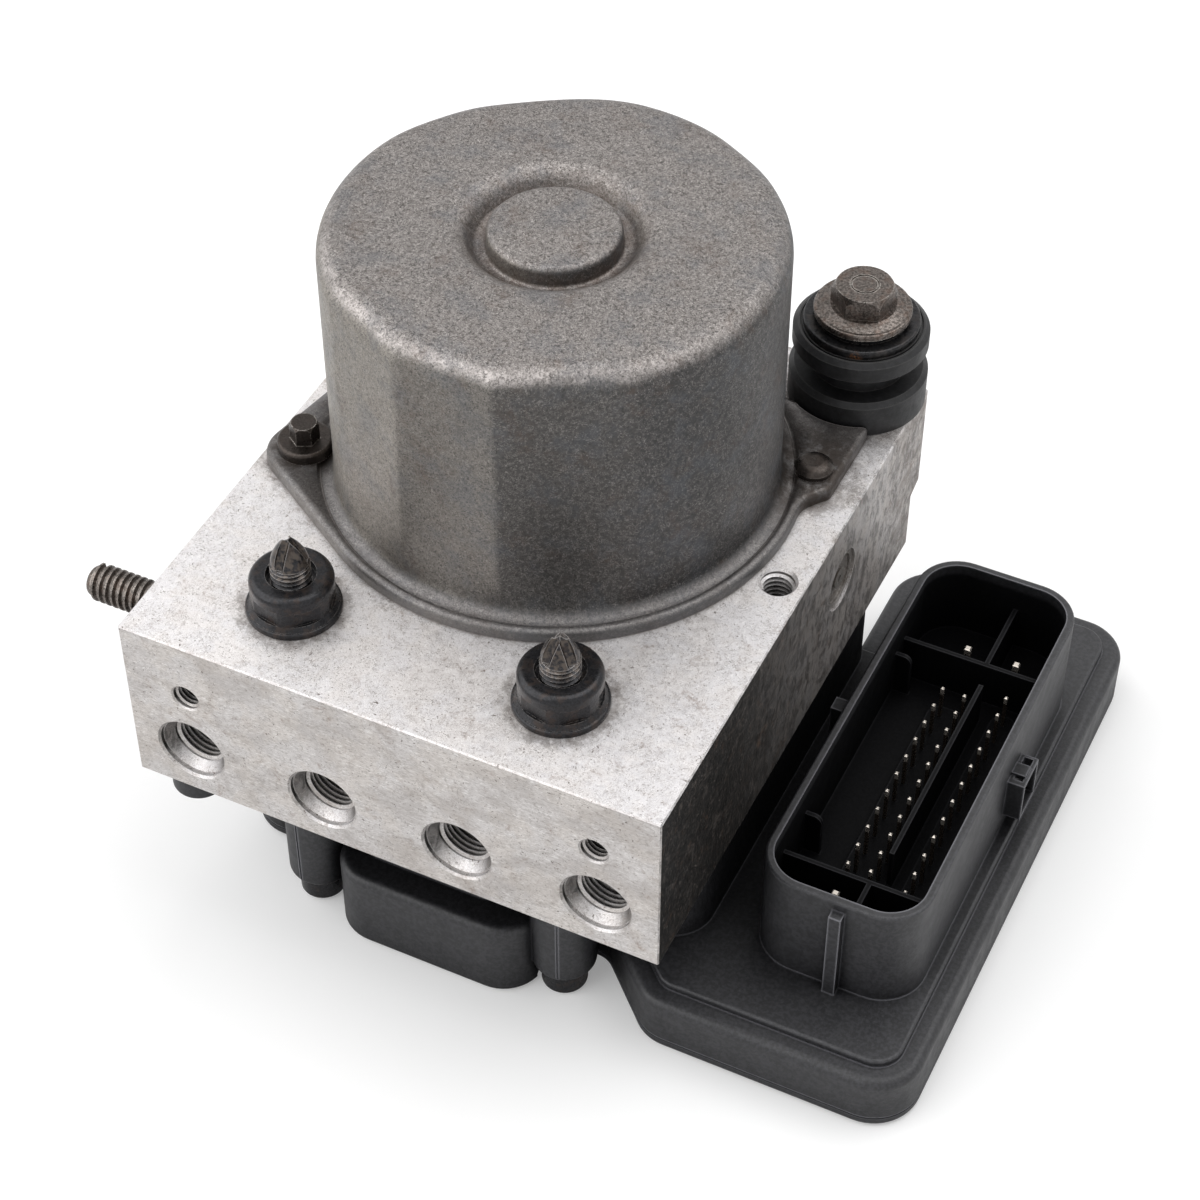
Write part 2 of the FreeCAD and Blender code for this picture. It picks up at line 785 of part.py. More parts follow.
def make_long_screws():
    screws = []
    head_low = -boss_bottom - screw_head_height
    shoulder = nut_top + screw_above_nut
    neck_low = nut_top - nut_recess_depth
    radius = screw_d / 2
    tip = screw_point_tip_d / 2
    y = screw_from_front
    for i, x in enumerate(screw_xs):
        head = cyl(screw_head_d / 2, screw_head_height, x, y, head_low)
        head = soften(head, screw_head_round, head_low)
        head = head.cut(hexagon(screw_socket_flats, screw_socket_depth, x, y, head_low))
        collar = cyl(screw_collar_d / 2, screw_collar, x, y, -boss_bottom - screw_collar)
        shank = cyl(radius, neck_low + boss_bottom, x, y, -boss_bottom)
        neck = cyl(screw_root_d / 2, shoulder - neck_low, x, y, neck_low)
        point = turned_smooth([(0.96 * radius, shoulder), (0.9 * radius, shoulder + 0.2 * screw_point),
                               (0.56 * radius, shoulder + 0.7 * screw_point), (tip, shoulder + screw_point)],
                              shoulder, x, y)
        count, width = screw_flutes[i]
        for k in range(count):
            a = math.radians(360 / count * k + 25 + 40 * i)
            out = Vec(math.cos(a), math.sin(a), 0)
            start = Vec(x, y, shoulder) + out * (radius + 0.18 * width)
            lean = Z_AXIS * screw_point - out * (radius - tip)
            point = point.cut(Part.makeCylinder(width / 2, 3 * screw_point, start, lean))
        screws.append(join(head, collar, shank, neck, point))
    return Part.makeCompound(screws)


def make_flange_nuts():
    """Hexagon nuts with a rounded flange below and a round cap above."""
    nuts = []
    y = screw_from_front
    for x, turn in zip(screw_xs, nut_turns):
        edge = cyl(nut_flange_d / 2, nut_flange_edge, x, y, top)
        edge = soften(edge, nut_flange_round, top + nut_flange_edge)
        skirt = cone(nut_flange_d / 2 - nut_flange_round, nut_corner_d / 2, nut_flange_height - nut_flange_edge,
                     x, y, top + nut_flange_edge)
        body = hexagon(nut_flats, nut_height - nut_recess_depth, x, y, top, turn)
        body = body.common(cyl(nut_corner_d / 2, nut_height, x, y, top))
        cap = cyl(nut_corner_d / 2, nut_cap_height, x, y, nut_top - nut_cap_height)
        under_cap = cone(nut_flats / 2, nut_corner_d / 2, nut_cap_bevel, x, y,
                         nut_top - nut_cap_height - nut_cap_bevel)
        nut = join(edge, skirt, body, under_cap, soften(cap, nut_cap_round, nut_top))
        nut = nut.cut(cyl(screw_d / 2 + fit_gap, nut_height + 2 * over, x, y, top - over))
        nut = nut.cut(cyl(nut_recess_d / 2, nut_recess_depth + over, x, y, nut_top - nut_recess_depth))
        nuts.append(nut)
    return Part.makeCompound(nuts)


def make_side_stud():
    stud = cyl(stud_d / 2, stud_reach - stud_point,
               -stud_reach + stud_point, stud_from_front, stud_height, X_AXIS)
    root = cyl(stud_root_d / 2, stud_embed, 0, stud_from_front, stud_height, X_AXIS)
    point = cone(stud_d / 2 - stud_point, stud_d / 2, stud_point,
                 -stud_reach, stud_from_front, stud_height, X_AXIS)
    return join(stud, root, point)


def bush_levels():
    """Heights of the rubber bush's three bands above the block, from the bottom up."""
    lower = top + bush_lower_height
    neck = lower + bush_neck_height
    return lower, neck, neck + bush_upper_height


def make_mount_grommet():
    lower, neck, upper = bush_levels()
    x, y = bush_x, bush_from_front
    bands = [cyl(bush_lower_d / 2, bush_lower_height, x, y, top),
             cyl(bush_neck_d / 2, bush_neck_height, x, y, lower),
             cyl(bush_upper_d / 2, bush_upper_height, x, y, neck)]
    bush = join(*bands)
    rounds = edges_at(bush, lambda p: math.hypot(p.x - x, p.y - y) > bush_neck_d / 2 + 0.5 and p.z > top + 0.1)
    bush = bush.makeChamfer(bush_bevel, rounds)
    bush = bush.cut(ring(bush_lip_d / 2 + bush_lip_width, bush_lip_d / 2, bush_lip_depth + over,
                         x, y, upper - bush_lip_depth))
    return bush.cut(cyl(sleeve_d / 2 + fit_gap, upper - top + 2 * over, x, y, top - over))


def make_mount_sleeve():
    upper = bush_levels()[2]
    x, y = bush_x, bush_from_front
    tube = cyl(sleeve_d / 2, upper - top, x, y, top)
    step = upper + sleeve_collar - sleeve_hub
    collar = cyl(sleeve_collar_d / 2, step - upper, x, y, upper)
    collar = soften(collar, sleeve_collar_round, step)
    hub = cyl(sleeve_hub_d / 2, sleeve_collar, x, y, upper)
    return join(tube, collar, hub).cut(cyl(mount_bolt_d / 2 + fit_gap, upper - top + sleeve_collar + 2 * over,
                                      x, y, top - over))


def make_mount_washer():
    """A washer that is thicker under the bolt's head than at its rim."""
    low = bush_levels()[2] + sleeve_collar
    x, y = bush_x, bush_from_front
    edge = cyl(mount_washer_d / 2, mount_washer_rim, x, y, low)
    edge = soften(edge, mount_washer_round, low + mount_washer_rim)
    slope = cone(mount_washer_d / 2 - 2 * mount_washer_round, mount_bolt_flats / math.sqrt(3),
                 mount_washer - mount_washer_rim, x, y, low + mount_washer_rim)
    return join(edge, slope).cut(cyl(mount_bolt_d / 2 + fit_gap, mount_washer + 2 * over, x, y, low - over))


def make_mount_bolt():
    x, y = bush_x, bush_from_front
    seat = bush_levels()[2] + sleeve_collar + mount_washer
    shank = cyl(mount_bolt_d / 2, seat - top + mount_bolt_embed, x, y, top - mount_bolt_embed)
    head = bevelled_hexagon(mount_bolt_flats, mount_bolt_head, x, y, seat, mount_bolt_turn)
    mark = ring(mount_bolt_mark_d / 2, mount_bolt_mark_d / 2 - mount_bolt_mark,
                mount_bolt_mark, x, y, seat + mount_bolt_head - mount_bolt_mark)
    return join(shank, head).cut(mark)


def make_locating_plug():
    x, y = plug_from_left, plug_from_front
    foot = cyl(plug_d / 2, plug_height, x, y, -plug_height)
    foot = foot.makeFillet(0.2 * plug_height, edges_at(foot, lambda p: abs(p.z + plug_height) < 1e-6))
    return join(foot, cyl(plug_stem_d / 2, plug_stem, x, y, 0))


def make_lower_bearing():
    return ring(lower_bearing_radius, shaft_radius + running_gap, lower_bearing_height,
                motor_x, motor_y, top - lower_bearing_height)


def make_upper_bearing():
    return ring(upper_bearing_radius, shaft_top_radius + running_gap, upper_bearing_height,
                motor_x, motor_y, bearing_bottom)


def make_rotor_shaft():
    ring_low = pump_height - eccentric_ring_height / 2
    shoulder = bearing_bottom - seat_gap
    crank_top = pump_height + eccentric_ring_height / 2
    main = cyl(shaft_radius, shoulder - crank_top, motor_x, motor_y, crank_top)
    tip = cyl(shaft_top_radius, upper_bearing_height + seat_gap, motor_x, motor_y, shoulder)
    crank = cyl(eccentric_radius, eccentric_ring_height, motor_x, motor_y + eccentric_offset, ring_low)
    return join(main, tip, crank)


def make_eccentric_bearing():
    low = pump_height - eccentric_ring_height / 2
    return ring(eccentric_ring_radius, eccentric_radius + fit_gap, eccentric_ring_height,
                motor_x, motor_y + eccentric_offset, low)


def make_armature_core():
    low = top + core_bottom
    core = ring(core_radius, shaft_radius + fit_gap, core_height, motor_x, motor_y, low)
    cuts = []
    for i in range(slot_count):
        a = math.radians(360 / slot_count * i)
        out = Vec(math.cos(a), math.sin(a), 0)
        centre = Vec(motor_x, motor_y, low - over) + out * slot_centre
        cuts.append(Part.makeCylinder(slot_radius, core_height + 2 * over, centre, Z_AXIS))
        mouth = box(slot_centre, core_radius + over, -0.3 * slot_radius, 0.3 * slot_radius,
                    low - over, low + core_height + over)
        mouth.rotate(Vec(0, 0, 0), Z_AXIS, math.degrees(a))
        mouth.translate(Vec(motor_x, motor_y, 0))
        cuts.append(mouth)
    return core.cut(cuts)


def make_armature_windings():
    low = top + core_bottom - winding_height
    high = top + core_bottom + core_height
    ends = [ring(winding_outer, winding_inner, winding_height, motor_x, motor_y, z) for z in (low, high)]
    bars = []
    for i in range(slot_count):
        a = math.radians(360 / slot_count * i)
        bars.append(cyl(slot_radius - 0.15, core_height + 1.0,
                        motor_x + slot_centre * math.cos(a), motor_y + slot_centre * math.sin(a),
                        top + core_bottom - 0.5))
    return join(ends[0], ends[1], *bars)


def make_commutator():
    low = top + commutator_bottom
    drum = ring(commutator_radius, shaft_radius + fit_gap, commutator_height, motor_x, motor_y, low)
    cuts = []
    for i in range(slot_count):
        cut = box(commutator_radius - segment_depth, commutator_radius + over,
                  -segment_gap / 2, segment_gap / 2, low - over, low + commutator_height + over)
        cut.rotate(Vec(0, 0, 0), Z_AXIS, 360 / slot_count * (i + 0.5))
        cut.translate(Vec(motor_x, motor_y, 0))
        cuts.append(cut)
    return drum.cut(cuts)


def make_magnets():
    low = top + magnet_bottom
    outer = can_radius - can_wall - fit_gap
    magnets = []
    for i in range(magnet_count):
        middle = magnet_angle + 360 / magnet_count * i
        sector = Part.makeCylinder(outer, magnet_height, Vec(motor_x, motor_y, low), Z_AXIS, magnet_span)
        sector = sector.cut(cyl(magnet_inner, magnet_height + 2 * over, motor_x, motor_y, low - over))
        sector.rotate(Vec(motor_x, motor_y, 0), Z_AXIS, middle - magnet_span / 2)
        magnets.append(sector)
    return Part.makeCompound(magnets)


def brush_levels():
    middle = top + commutator_bottom + commutator_height / 2
    return middle - brush_width / 2, middle + brush_width / 2


def make_brush_holder():
    """The plastic end plate with a guide box for each brush."""
    low = top + holder_lift
    plate = ring(holder_radius, holder_hole, holder_plate, motor_x, motor_y, low)
    brush_low, brush_high = brush_levels()
    half = brush_width / 2 + running_gap
    inner = commutator_radius + 3 * seat_gap
    foot_start = max(inner, holder_hole + 1.0)
    parts = [plate]
    cuts = []
    for side in (-1, 1):
        start, end = sorted((motor_x + side * inner, motor_x + side * holder_reach))
        parts.append(box(start, end, motor_y - half - holder_wall, motor_y + half + holder_wall,
                         brush_low - running_gap - holder_wall, brush_high + running_gap + holder_wall))
        start, end = sorted((motor_x + side * foot_start, motor_x + side * holder_reach))
        parts.append(box(start, end, motor_y - half, motor_y + half,
                         low, brush_low - running_gap - holder_wall))
        start, end = sorted((motor_x + side * (inner - over), motor_x + side * (holder_reach - holder_wall)))
        cuts.append(box(start, end, motor_y - half, motor_y + half,
                        brush_low - running_gap, brush_high + running_gap))
    return join(*parts).cut(cuts)


def make_brush(side):
    low, high = brush_levels()
    near = commutator_radius + seat_gap
    start, end = sorted((motor_x + side * near, motor_x + side * (near + brush_length)))
    return box(start, end, motor_y - brush_width / 2, motor_y + brush_width / 2, low, high)


def make_brush_spring(side):
    low, high = brush_levels()
    start = commutator_radius + seat_gap + brush_length + fit_gap
    length = holder_reach - holder_wall - fit_gap - start
    return coil_spring(brush_spring_wire, brush_width / 2 - brush_spring_wire, length, 1.3,
                       Vec(motor_x + side * start, motor_y, (low + high) / 2), X_AXIS * side)


def make_motor_lead():
    """The plug that carries the motor's two supply pins down through the block."""
    y = motor_y + lead_from_axis
    body = cyl(lead_radius, top + lead_tail, motor_x, y, -lead_tail)
    pins = [cyl(lead_pin_radius, top + holder_lift + board_top,
                motor_x + side * lead_pin_spread / 2, y, -board_top)
            for side in (-1, 1)]
    return join(body, *pins)


def make_plunger(side):
    start = motor_x + side * stop_to_plunger
    heading = X_AXIS * side
    body = cyl(plunger_radius, plunger_length, start, motor_y, pump_height, heading)
    tail = cyl(plunger_tail_radius, plunger_tail, start + side * plunger_length, motor_y, pump_height, heading)
    return join(body, tail)


def make_pump_spring(side):
    start = Vec(motor_x + side * (pump_spring_start + fit_gap), motor_y, pump_height)
    mean = (plunger_tail_radius + plunger_radius) / 2
    return coil_spring(pump_spring_wire, mean, pump_spring_length - 2 * fit_gap, 1.8,
                       start, X_AXIS * side)


def make_pump_plug():
    length = motor_x - pump_spring_end
    plug = cyl(pump_plug_radius, length, 0, motor_y, pump_height, X_AXIS)
    return plug.cut(cyl(0.6 * pump_plug_radius, pump_plug_recess + over, -over, motor_y, pump_height, X_AXIS))


def make_store_cap(face_x, inward):
    """A round closing plug with a raised ring and a centre dimple, a little below the face."""
    start = face_x + inward * store_cap_sunk
    heading = X_AXIS * inward
    y, z = store_from_front, store_height
    cap = cyl(store_cap_radius, store_cap - store_cap_sunk, start, y, z, heading)
    out = start - inward * over
    dish = cyl(store_cap_radius - store_cap_ring, over + store_cap_sunk, out, y, z, heading)
    knob = cone(1.5 * store_cap_dimple, store_cap_dimple, over + store_cap_sunk, out, y, z, heading)
    pit = cyl(0.4 * store_cap_dimple, over + 2 * store_cap_sunk, out, y, z, heading)
    return cap.cut(dish.cut(knob)).cut(pit)


def make_store_piston(face_x, inward):
    end = face_x + inward * (store_depth - seat_gap)
    y, z = store_from_front, store_height
    piston = cyl(store_radius - running_gap, store_piston, end, y, z, X_AXIS * -inward)
    hollow = cyl(0.6 * store_radius, 0.6 * store_piston, end - inward * store_piston, y, z, X_AXIS * inward)
    return piston.cut(hollow)


def make_store_spring(face_x, inward):
    far = store_depth - seat_gap - 0.4 * store_piston - fit_gap
    near = store_cap + fit_gap
    start = Vec(face_x + inward * near, store_from_front, store_height)
    mean = 0.6 * store_radius - store_spring_wire
    return coil_spring(store_spring_wire, mean, far - near, 2.4, start, X_AXIS * inward)


def make_valve(x, y):
    """A valve cartridge: pressed body in the block, closed dome below it."""
    solid_low = -dome_length + dome_wall + armature_length + 2 * seat_gap + armature_travel
    body = cyl(valve_radius, valve_depth, x, y, 0)
    nose = cyl(valve_nose_radius, valve_nose, x, y, valve_depth)
    dome = cyl(dome_radius, dome_length, x, y, -dome_length)
    room = cyl(dome_radius - dome_wall, solid_low + dome_length - dome_wall, x, y, -dome_length + dome_wall)
    needle_room = needle_reach - armature_length + armature_travel + 2 * seat_gap
    shaft_hole = cyl(needle_radius + fit_gap, needle_room, x, y, solid_low - 0.1)
    return join(body, nose, dome).cut(room).cut(shaft_hole)


def make_armature(x, y):
    low = -dome_length + dome_wall + seat_gap
    core = cyl(dome_radius - dome_wall - running_gap, armature_length, x, y, low)
    return join(core, cyl(needle_radius, needle_reach, x, y, low))


def make_coil(x, y):
    low = -coil_top_gap - coil_height
    inner = dome_radius + fit_gap
    parts = [ring(coil_winding_radius, inner, coil_height, x, y, low),
             ring(coil_radius, inner, coil_flange, x, y, low),
             ring(coil_radius, inner, coil_flange, x, y, -coil_top_gap - coil_flange)]
    for side in (-1, 1):
        parts.append(cyl(coil_pin_radius, low + board_top + 0.5, x + side * coil_pin_spread, y, -board_top))
    return join(*parts)


def row_of(maker, y):
    return Part.makeCompound([maker(x, y) for x in valve_xs])


def rounded_prism(corners, z0, z1):
    """An upright prism over (x, y, rounding) corners."""
    outline = [Vec(x, y, z0) for x, y, rounding in corners]
    outline.append(outline[0])
    prism = Part.Face(Part.makePolygon(outline)).extrude(Vec(0, 0, z1 - z0))
    for x, y, rounding in corners:
        if rounding > 0:
            edge = edges_at(prism, lambda p: math.hypot(p.x - x, p.y - y) < 1e-4)
            prism = prism.makeFillet(rounding, edge)
    return prism


def make_wing(z0, z1, inset):
    """The wing beside the block, whose front slopes back to the coil box."""
    slope = math.atan2(box_front - wing_front, wing_skew_right - wing_skew_left)
    shift = inset * math.tan(slope / 2)
    corner = wing_corner - inset
    return rounded_prism([
        (wing_right - inset, wing_front + inset, corner),
        (wing_right - inset, wing_back - inset, corner),
        (flange_left + inset, wing_back - inset, corner),
        (flange_left + inset, wing_root_back, 0),
        (wing_root_left, wing_root_back, 0),
        (wing_root_left, box_front + inset, 0),
        (wing_skew_left + shift, box_front + inset, wing_skew_hollow + inset),
        (wing_skew_right + shift, wing_front + inset, wing_skew_corner - inset)], z0, z1)


def soften(shape, radius, z, test=lambda p: True):
    """Rounds the edges that lie at height z and pass the test."""
    return shape.makeFillet(radius, edges_at(shape, lambda p: abs(p.z - z) < 1e-6 and test(p)))


def make_electronics_housing():
    """The moulding: coil box, wing, front bay, screw bosses and the plug shroud."""
    coil_box = rounded_box(box_left, box_right, box_front, box_back, cover_top, 0, box_corner)
    wing = soften(make_wing(cover_top, wing_top, 0), wing_edge_round, wing_top)
    panel = soften(make_wing(wing_top - over, panel_top, panel_inset), panel_round, panel_top)
    bay = rounded_box(bay_left, bay_right, bay_front, box_front + box_corner, base, -bay_top, bay_corner)
    bay = soften(soften(bay, bay_round, -bay_top), base_edge_round, base)
    tier = rounded_box(bay_left + 0.5, bay_right - bay_step_right, bay_front + bay_step,
                       box_front + box_corner, -bay_top - over, 0, bay_corner)
    shroud = rounded_box(shroud_left, shroud_right, shroud_front, shroud_back,
                         panel_top - over, -shroud_rim, shroud_corner)
    shroud = soften(shroud, shroud_round, -shroud_rim)
    parts = [wing, panel, bay, tier, shroud]
    for x, angle in zip(screw_xs, boss_line_angles):
        boss = cyl(boss_radius, boss_bottom, x, screw_from_front, -boss_bottom)
        line = box(boss_radius - boss_line_depth, boss_radius + over, -boss_line_width / 2, boss_line_width / 2,
                   -boss_bottom - over, over)
        line.rotate(Vec(0, 0, 0), Z_AXIS, angle)
        line.translate(Vec(x, screw_from_front, 0))
        parts.append(soften(boss, boss_round, -boss_bottom).cut(line))
        parts.append(box(x - 0.6 * boss_radius, x + 0.6 * boss_radius, screw_from_front, box_front + over,
                         -boss_bottom, 0))
    outside = join(coil_box, *parts)

    inner_box = rounded_box(box_left + wall, box_right - wall, box_front + wall, box_back - wall,
                            base - over, over, box_corner - wall)
    inner_wing = make_wing(base - over, panel_top - panel_skin, wall)
    inner_bay = rounded_box(bay_left + bay_wall, bay_right - bay_wall,
                            bay_front + bay_wall, box_front + wall + over,
                            base + bay_wall, -bay_top - bay_wall, bay_corner - bay_wall)
    outside = outside.cut([inner_box, inner_wing, inner_bay])
    socket = rounded_box(shroud_left + shroud_wall, shroud_right - shroud_wall, shroud_front + shroud_wall,
                         shroud_back - shroud_wall, -socket_floor, over, shroud_corner - shroud_wall)
    under = rounded_box(shroud_left + wall, shroud_right - wall, shroud_front + wall, shroud_back - wall,
                        panel_top - panel_skin - over, -socket_floor - socket_skin, shroud_corner - wall)
    outside = outside.cut([socket, under])
    extras = socket_ribs() + shroud_keys()
    for x, y in rear_screw_places():
        side = -1 if x < mid_x else 1
        edge = box_left + 0.5 if side < 0 else box_right - 0.5
        x0, x1 = sorted((x, edge))
        extras.append(cyl(rear_boss_radius, rear_boss_height, x, y, -rear_boss_height))
        extras.append(box(x0, x1, y - 0.7 * rear_boss_radius, y + 0.7 * rear_boss_radius,
                          -rear_boss_height, 0))
    shape = join(outside, *extras)
    holes = []
    for x in screw_xs:
        holes.append(cyl(screw_bore_d / 2, boss_bottom + 2 * over, x, screw_from_front, -boss_bottom - over))
        holes.append(cyl(screw_collar_d / 2 + screw_head_clear, housing_depth - boss_bottom + over,
                         x, screw_from_front, base - over))
    for x, y in rear_screw_places():
        holes.append(cyl(rear_screw_d / 2 + fit_gap, rear_boss_height + 2 * over,
                         x, y, -rear_boss_height - over))
    holes.extend(box(x - w / 2, x + w / 2, y - w / 2, y + w / 2, -board_top, 0)
                 for x, y, w in pin_places())
    holes.append(seal_band(housing_seal_height + over, -housing_seal_height, 0))
    return shape.cut(holes).removeSplitter()


def seal_band(height, z, shrink):
    """The seal's track along the top of the coil box wall."""
    inset = (wall - housing_seal_width) / 2 + shrink
    far = inset + housing_seal_width - 2 * shrink
    outer = rounded_box(box_left + inset, box_right - inset, box_front + inset, box_back - inset,
                        z, z + height, box_corner - inset)
    inner = rounded_box(box_left + far, box_right - far, box_front + far, box_back - far,
                        z - over, z + height + over, box_corner - far)
    return outer.cut(inner)


def make_housing_seal():
    return seal_band(housing_seal_height, -housing_seal_height, fit_gap)


def socket_ribs():
    """Walls inside the plug socket, between its pin fields."""
    left = shroud_left + shroud_wall / 2
    right = shroud_right - shroud_wall / 2
    low, high = -socket_floor - 0.5, -rib_top
    half = rib_thickness / 2
    ribs = [box(left, right, y - half, y + half, low, high) for y in (cross_rib_front, cross_rib_back)]
    ribs.append(box(row_rib_x - half, row_rib_x + half, row_rib_front, row_rib_back, low, high))
    for y0, y1 in ((cross_rib_back, shroud_back - shroud_wall / 2),
                   (shroud_front + shroud_wall / 2, cross_rib_front)):
        ribs.append(box(end_rib_x - half, end_rib_x + half, y0, y1, low, high))
    reach = shroud_left + shroud_wall + side_rib_reach
    for y in (side_rib_front, side_rib_back):
        rib = box(left, reach, y - half, y + half, low, high)
        ribs.append(soften(rib, side_rib_round, high, lambda p: abs(p.x - reach) < 1e-6))
    floor = -socket_floor - 0.5
    row_ab_last = row_ab_first + (row_ab_count - 1) * pin_pitch
    row_c_last = row_c_first + (row_c_count - 1) * pin_pitch
    for x0, x1, y0, y1 in ((row_a_x, row_b_x, row_ab_first, row_ab_last),
                           (row_c_x, row_c_x, row_c_first, row_c_last)):
        ribs.append(rounded_box(x0 - plinth_margin, x1 + plinth_margin,
                                y0 - plinth_margin, y1 + plinth_margin,
                                floor, -socket_floor + plinth_height, plinth_margin))
    return ribs


def shroud_keys():
    """The raised key, latch loop and small block on the outside of the shroud."""
    key = box(front_key_x - front_key_width / 2, front_key_x + front_key_width / 2,
              shroud_front - front_key_depth, shroud_front + shroud_wall / 2,
              panel_top - 0.5, -shroud_rim - front_key_drop)
    back = latch_front + latch_length
    roof = -latch_top
    low = roof - latch_height
    near = shroud_right + latch_back_wall
    far = shroud_right + latch_reach
    slot_front = latch_front + 2 * latch_frame
    hole_front = back - latch_frame - latch_hole_length
    latch = join(box(shroud_right - shroud_wall / 2, far, latch_front, back, low, roof),
                 box(shroud_right - shroud_wall / 2, far - latch_frame, slot_front + latch_slot,
                     hole_front, roof - over, roof + latch_ridge))
    window = [box(near, far + over, latch_front + latch_frame, back - latch_frame,
                  low + latch_frame, roof - latch_frame),
              box(near, near + latch_hole_width, hole_front, back - latch_frame, low + over, roof + over),
              box(near, near + latch_hole_width, slot_front, slot_front + latch_slot, low + over, roof + over)]
    block = box(shroud_left - side_block_reach, shroud_left + shroud_wall / 2, side_block_front,
                side_block_front + side_block_length, -side_block_top - side_block_height, -side_block_top)
    return [key, latch.cut(window), block]


def pin_places():
    """Every contact pin as its centre and width."""
    pins = []
    for x in (row_a_x, row_b_x):
        pins.extend((x, row_ab_first + i * pin_pitch, pin_width) for i in range(row_ab_count))
    pins.extend((row_c_x, row_c_first + i * pin_pitch, pin_width) for i in range(row_c_count))
    pins.append((power_pin_x, power_pin_back, power_pin_width))
    pins.append((power_pin_x + power_pin_pair, power_pin_back, power_pin_width))
    pins.append((power_pin_x, power_pin_front, power_pin_width))
    return pins


def make_pins(width):
    pins = []
    for x, y, w in pin_places():
        if w == width:
            pin = box(x - w / 2, x + w / 2, y - w / 2, y + w / 2, -board_top, -pin_tip)
            tip = edges_at(pin, lambda p: abs(p.z + pin_tip) < 1e-6)
            pins.append(pin.makeChamfer(pin_bevel, tip))
    return Part.makeCompound(pins)


def make_electronics_cover():
    outer = join(rounded_box(box_left, box_right, box_front, box_back, base, cover_top, box_corner),
                 make_wing(base, cover_top, 0))
    outer = soften(outer, base_edge_round, base)
    seam = cover_top - seam_height
    lip = join(rounded_box(box_left + seam_depth, box_right - seam_depth, box_front + seam_depth,
                           box_back - seam_depth, seam - over, cover_top + over, box_corner - seam_depth),
               make_wing(seam - over, cover_top + over, seam_depth))
    band = box(box_left - over, wing_right + over, wing_front - over, wing_back + over, seam, cover_top + over)
    outer = outer.cut(band.cut(lip))
    floor = base + cover_floor
    pocket = join(rounded_box(box_left + wall, box_right - wall, box_front + wall, box_back - wall,
                              floor, cover_top + over, box_corner - wall),
                  make_wing(floor, cover_top + over, wall))
    cover = outer.cut(pocket)
    bay_gap = box(bay_left - fit_gap, bay_right + fit_gap, box_front - over, box_front + wall,
                  base - over, cover_top + over)
    cover = cover.cut(bay_gap)
    posts = [cyl(board_post_radius, board_under - floor + 0.5, x, y, floor - 0.5) for x, y in board_posts()]
    return join(cover, *posts)


def board_posts():
    near = board_margin + board_post_radius
    front = box_front + box_corner + near
    back = box_back - near
    return [(box_left + near, front), (box_left + near, back), (mid_x, back),
            (wing_right - near, wing_front + near), (wing_right - near, wing_back - near)]


def make_circuit_board():
    front = box_front + box_corner + board_margin
    main = box(box_left + board_margin, flange_left + wing_corner, front, box_back - board_margin,
               board_under, -board_top)
    side = box(flange_left + board_margin, wing_right - board_margin, wing_front + board_margin,
               wing_back - board_margin, board_under, -board_top)
    return join(main, side)


def make_control_chip():
    y = chip_from_front
    return box(mid_x - chip_side / 2, mid_x + chip_side / 2, y, y + chip_side,
               -board_top, -board_top + chip_height)


def make_capacitor():
    """A round capacitor lying in the front bay, with its two leads to the board."""
    x = (bay_left + bay_right) / 2
    y = (bay_front + box_front) / 2 + 2.0
    z = base + bay_wall + capacitor_radius + seat_gap
    can = cyl(capacitor_radius, capacitor_length, x - capacitor_length / 2, y, z, X_AXIS)
    board_front = box_front + box_corner + board_margin
    level = -board_top + capacitor_lead_radius
    leads = []
    for side in (-1, 1):
        leads.append(cyl(capacitor_lead_radius, board_front + 1.5 - y, x + side * capacitor_lead_spread / 2,
                         y, level, Y_AXIS))
    return join(can, *leads)


def make_rear_screws():
    screws = []
    for x, y in rear_screw_places():
        head = cyl(rear_screw_head_d / 2, rear_screw_head, x, y, -rear_boss_height - rear_screw_head)
        shank = cyl(rear_screw_d / 2, rear_boss_height + rear_screw_embed, x, y, -rear_boss_height)
        screws.append(join(head, shank))
    return Part.makeCompound(screws)


def export(name, shape):
    shape = shape.copy()
    shape.translate(Vec(-motor_x, -motor_y, housing_depth))
    shape.exportStep("parts/%s.step" % name)
    print("%-26s solids %2d  valid %s  volume %9.1f"
          % (name, len(shape.Solids), shape.isValid(), shape.Volume))


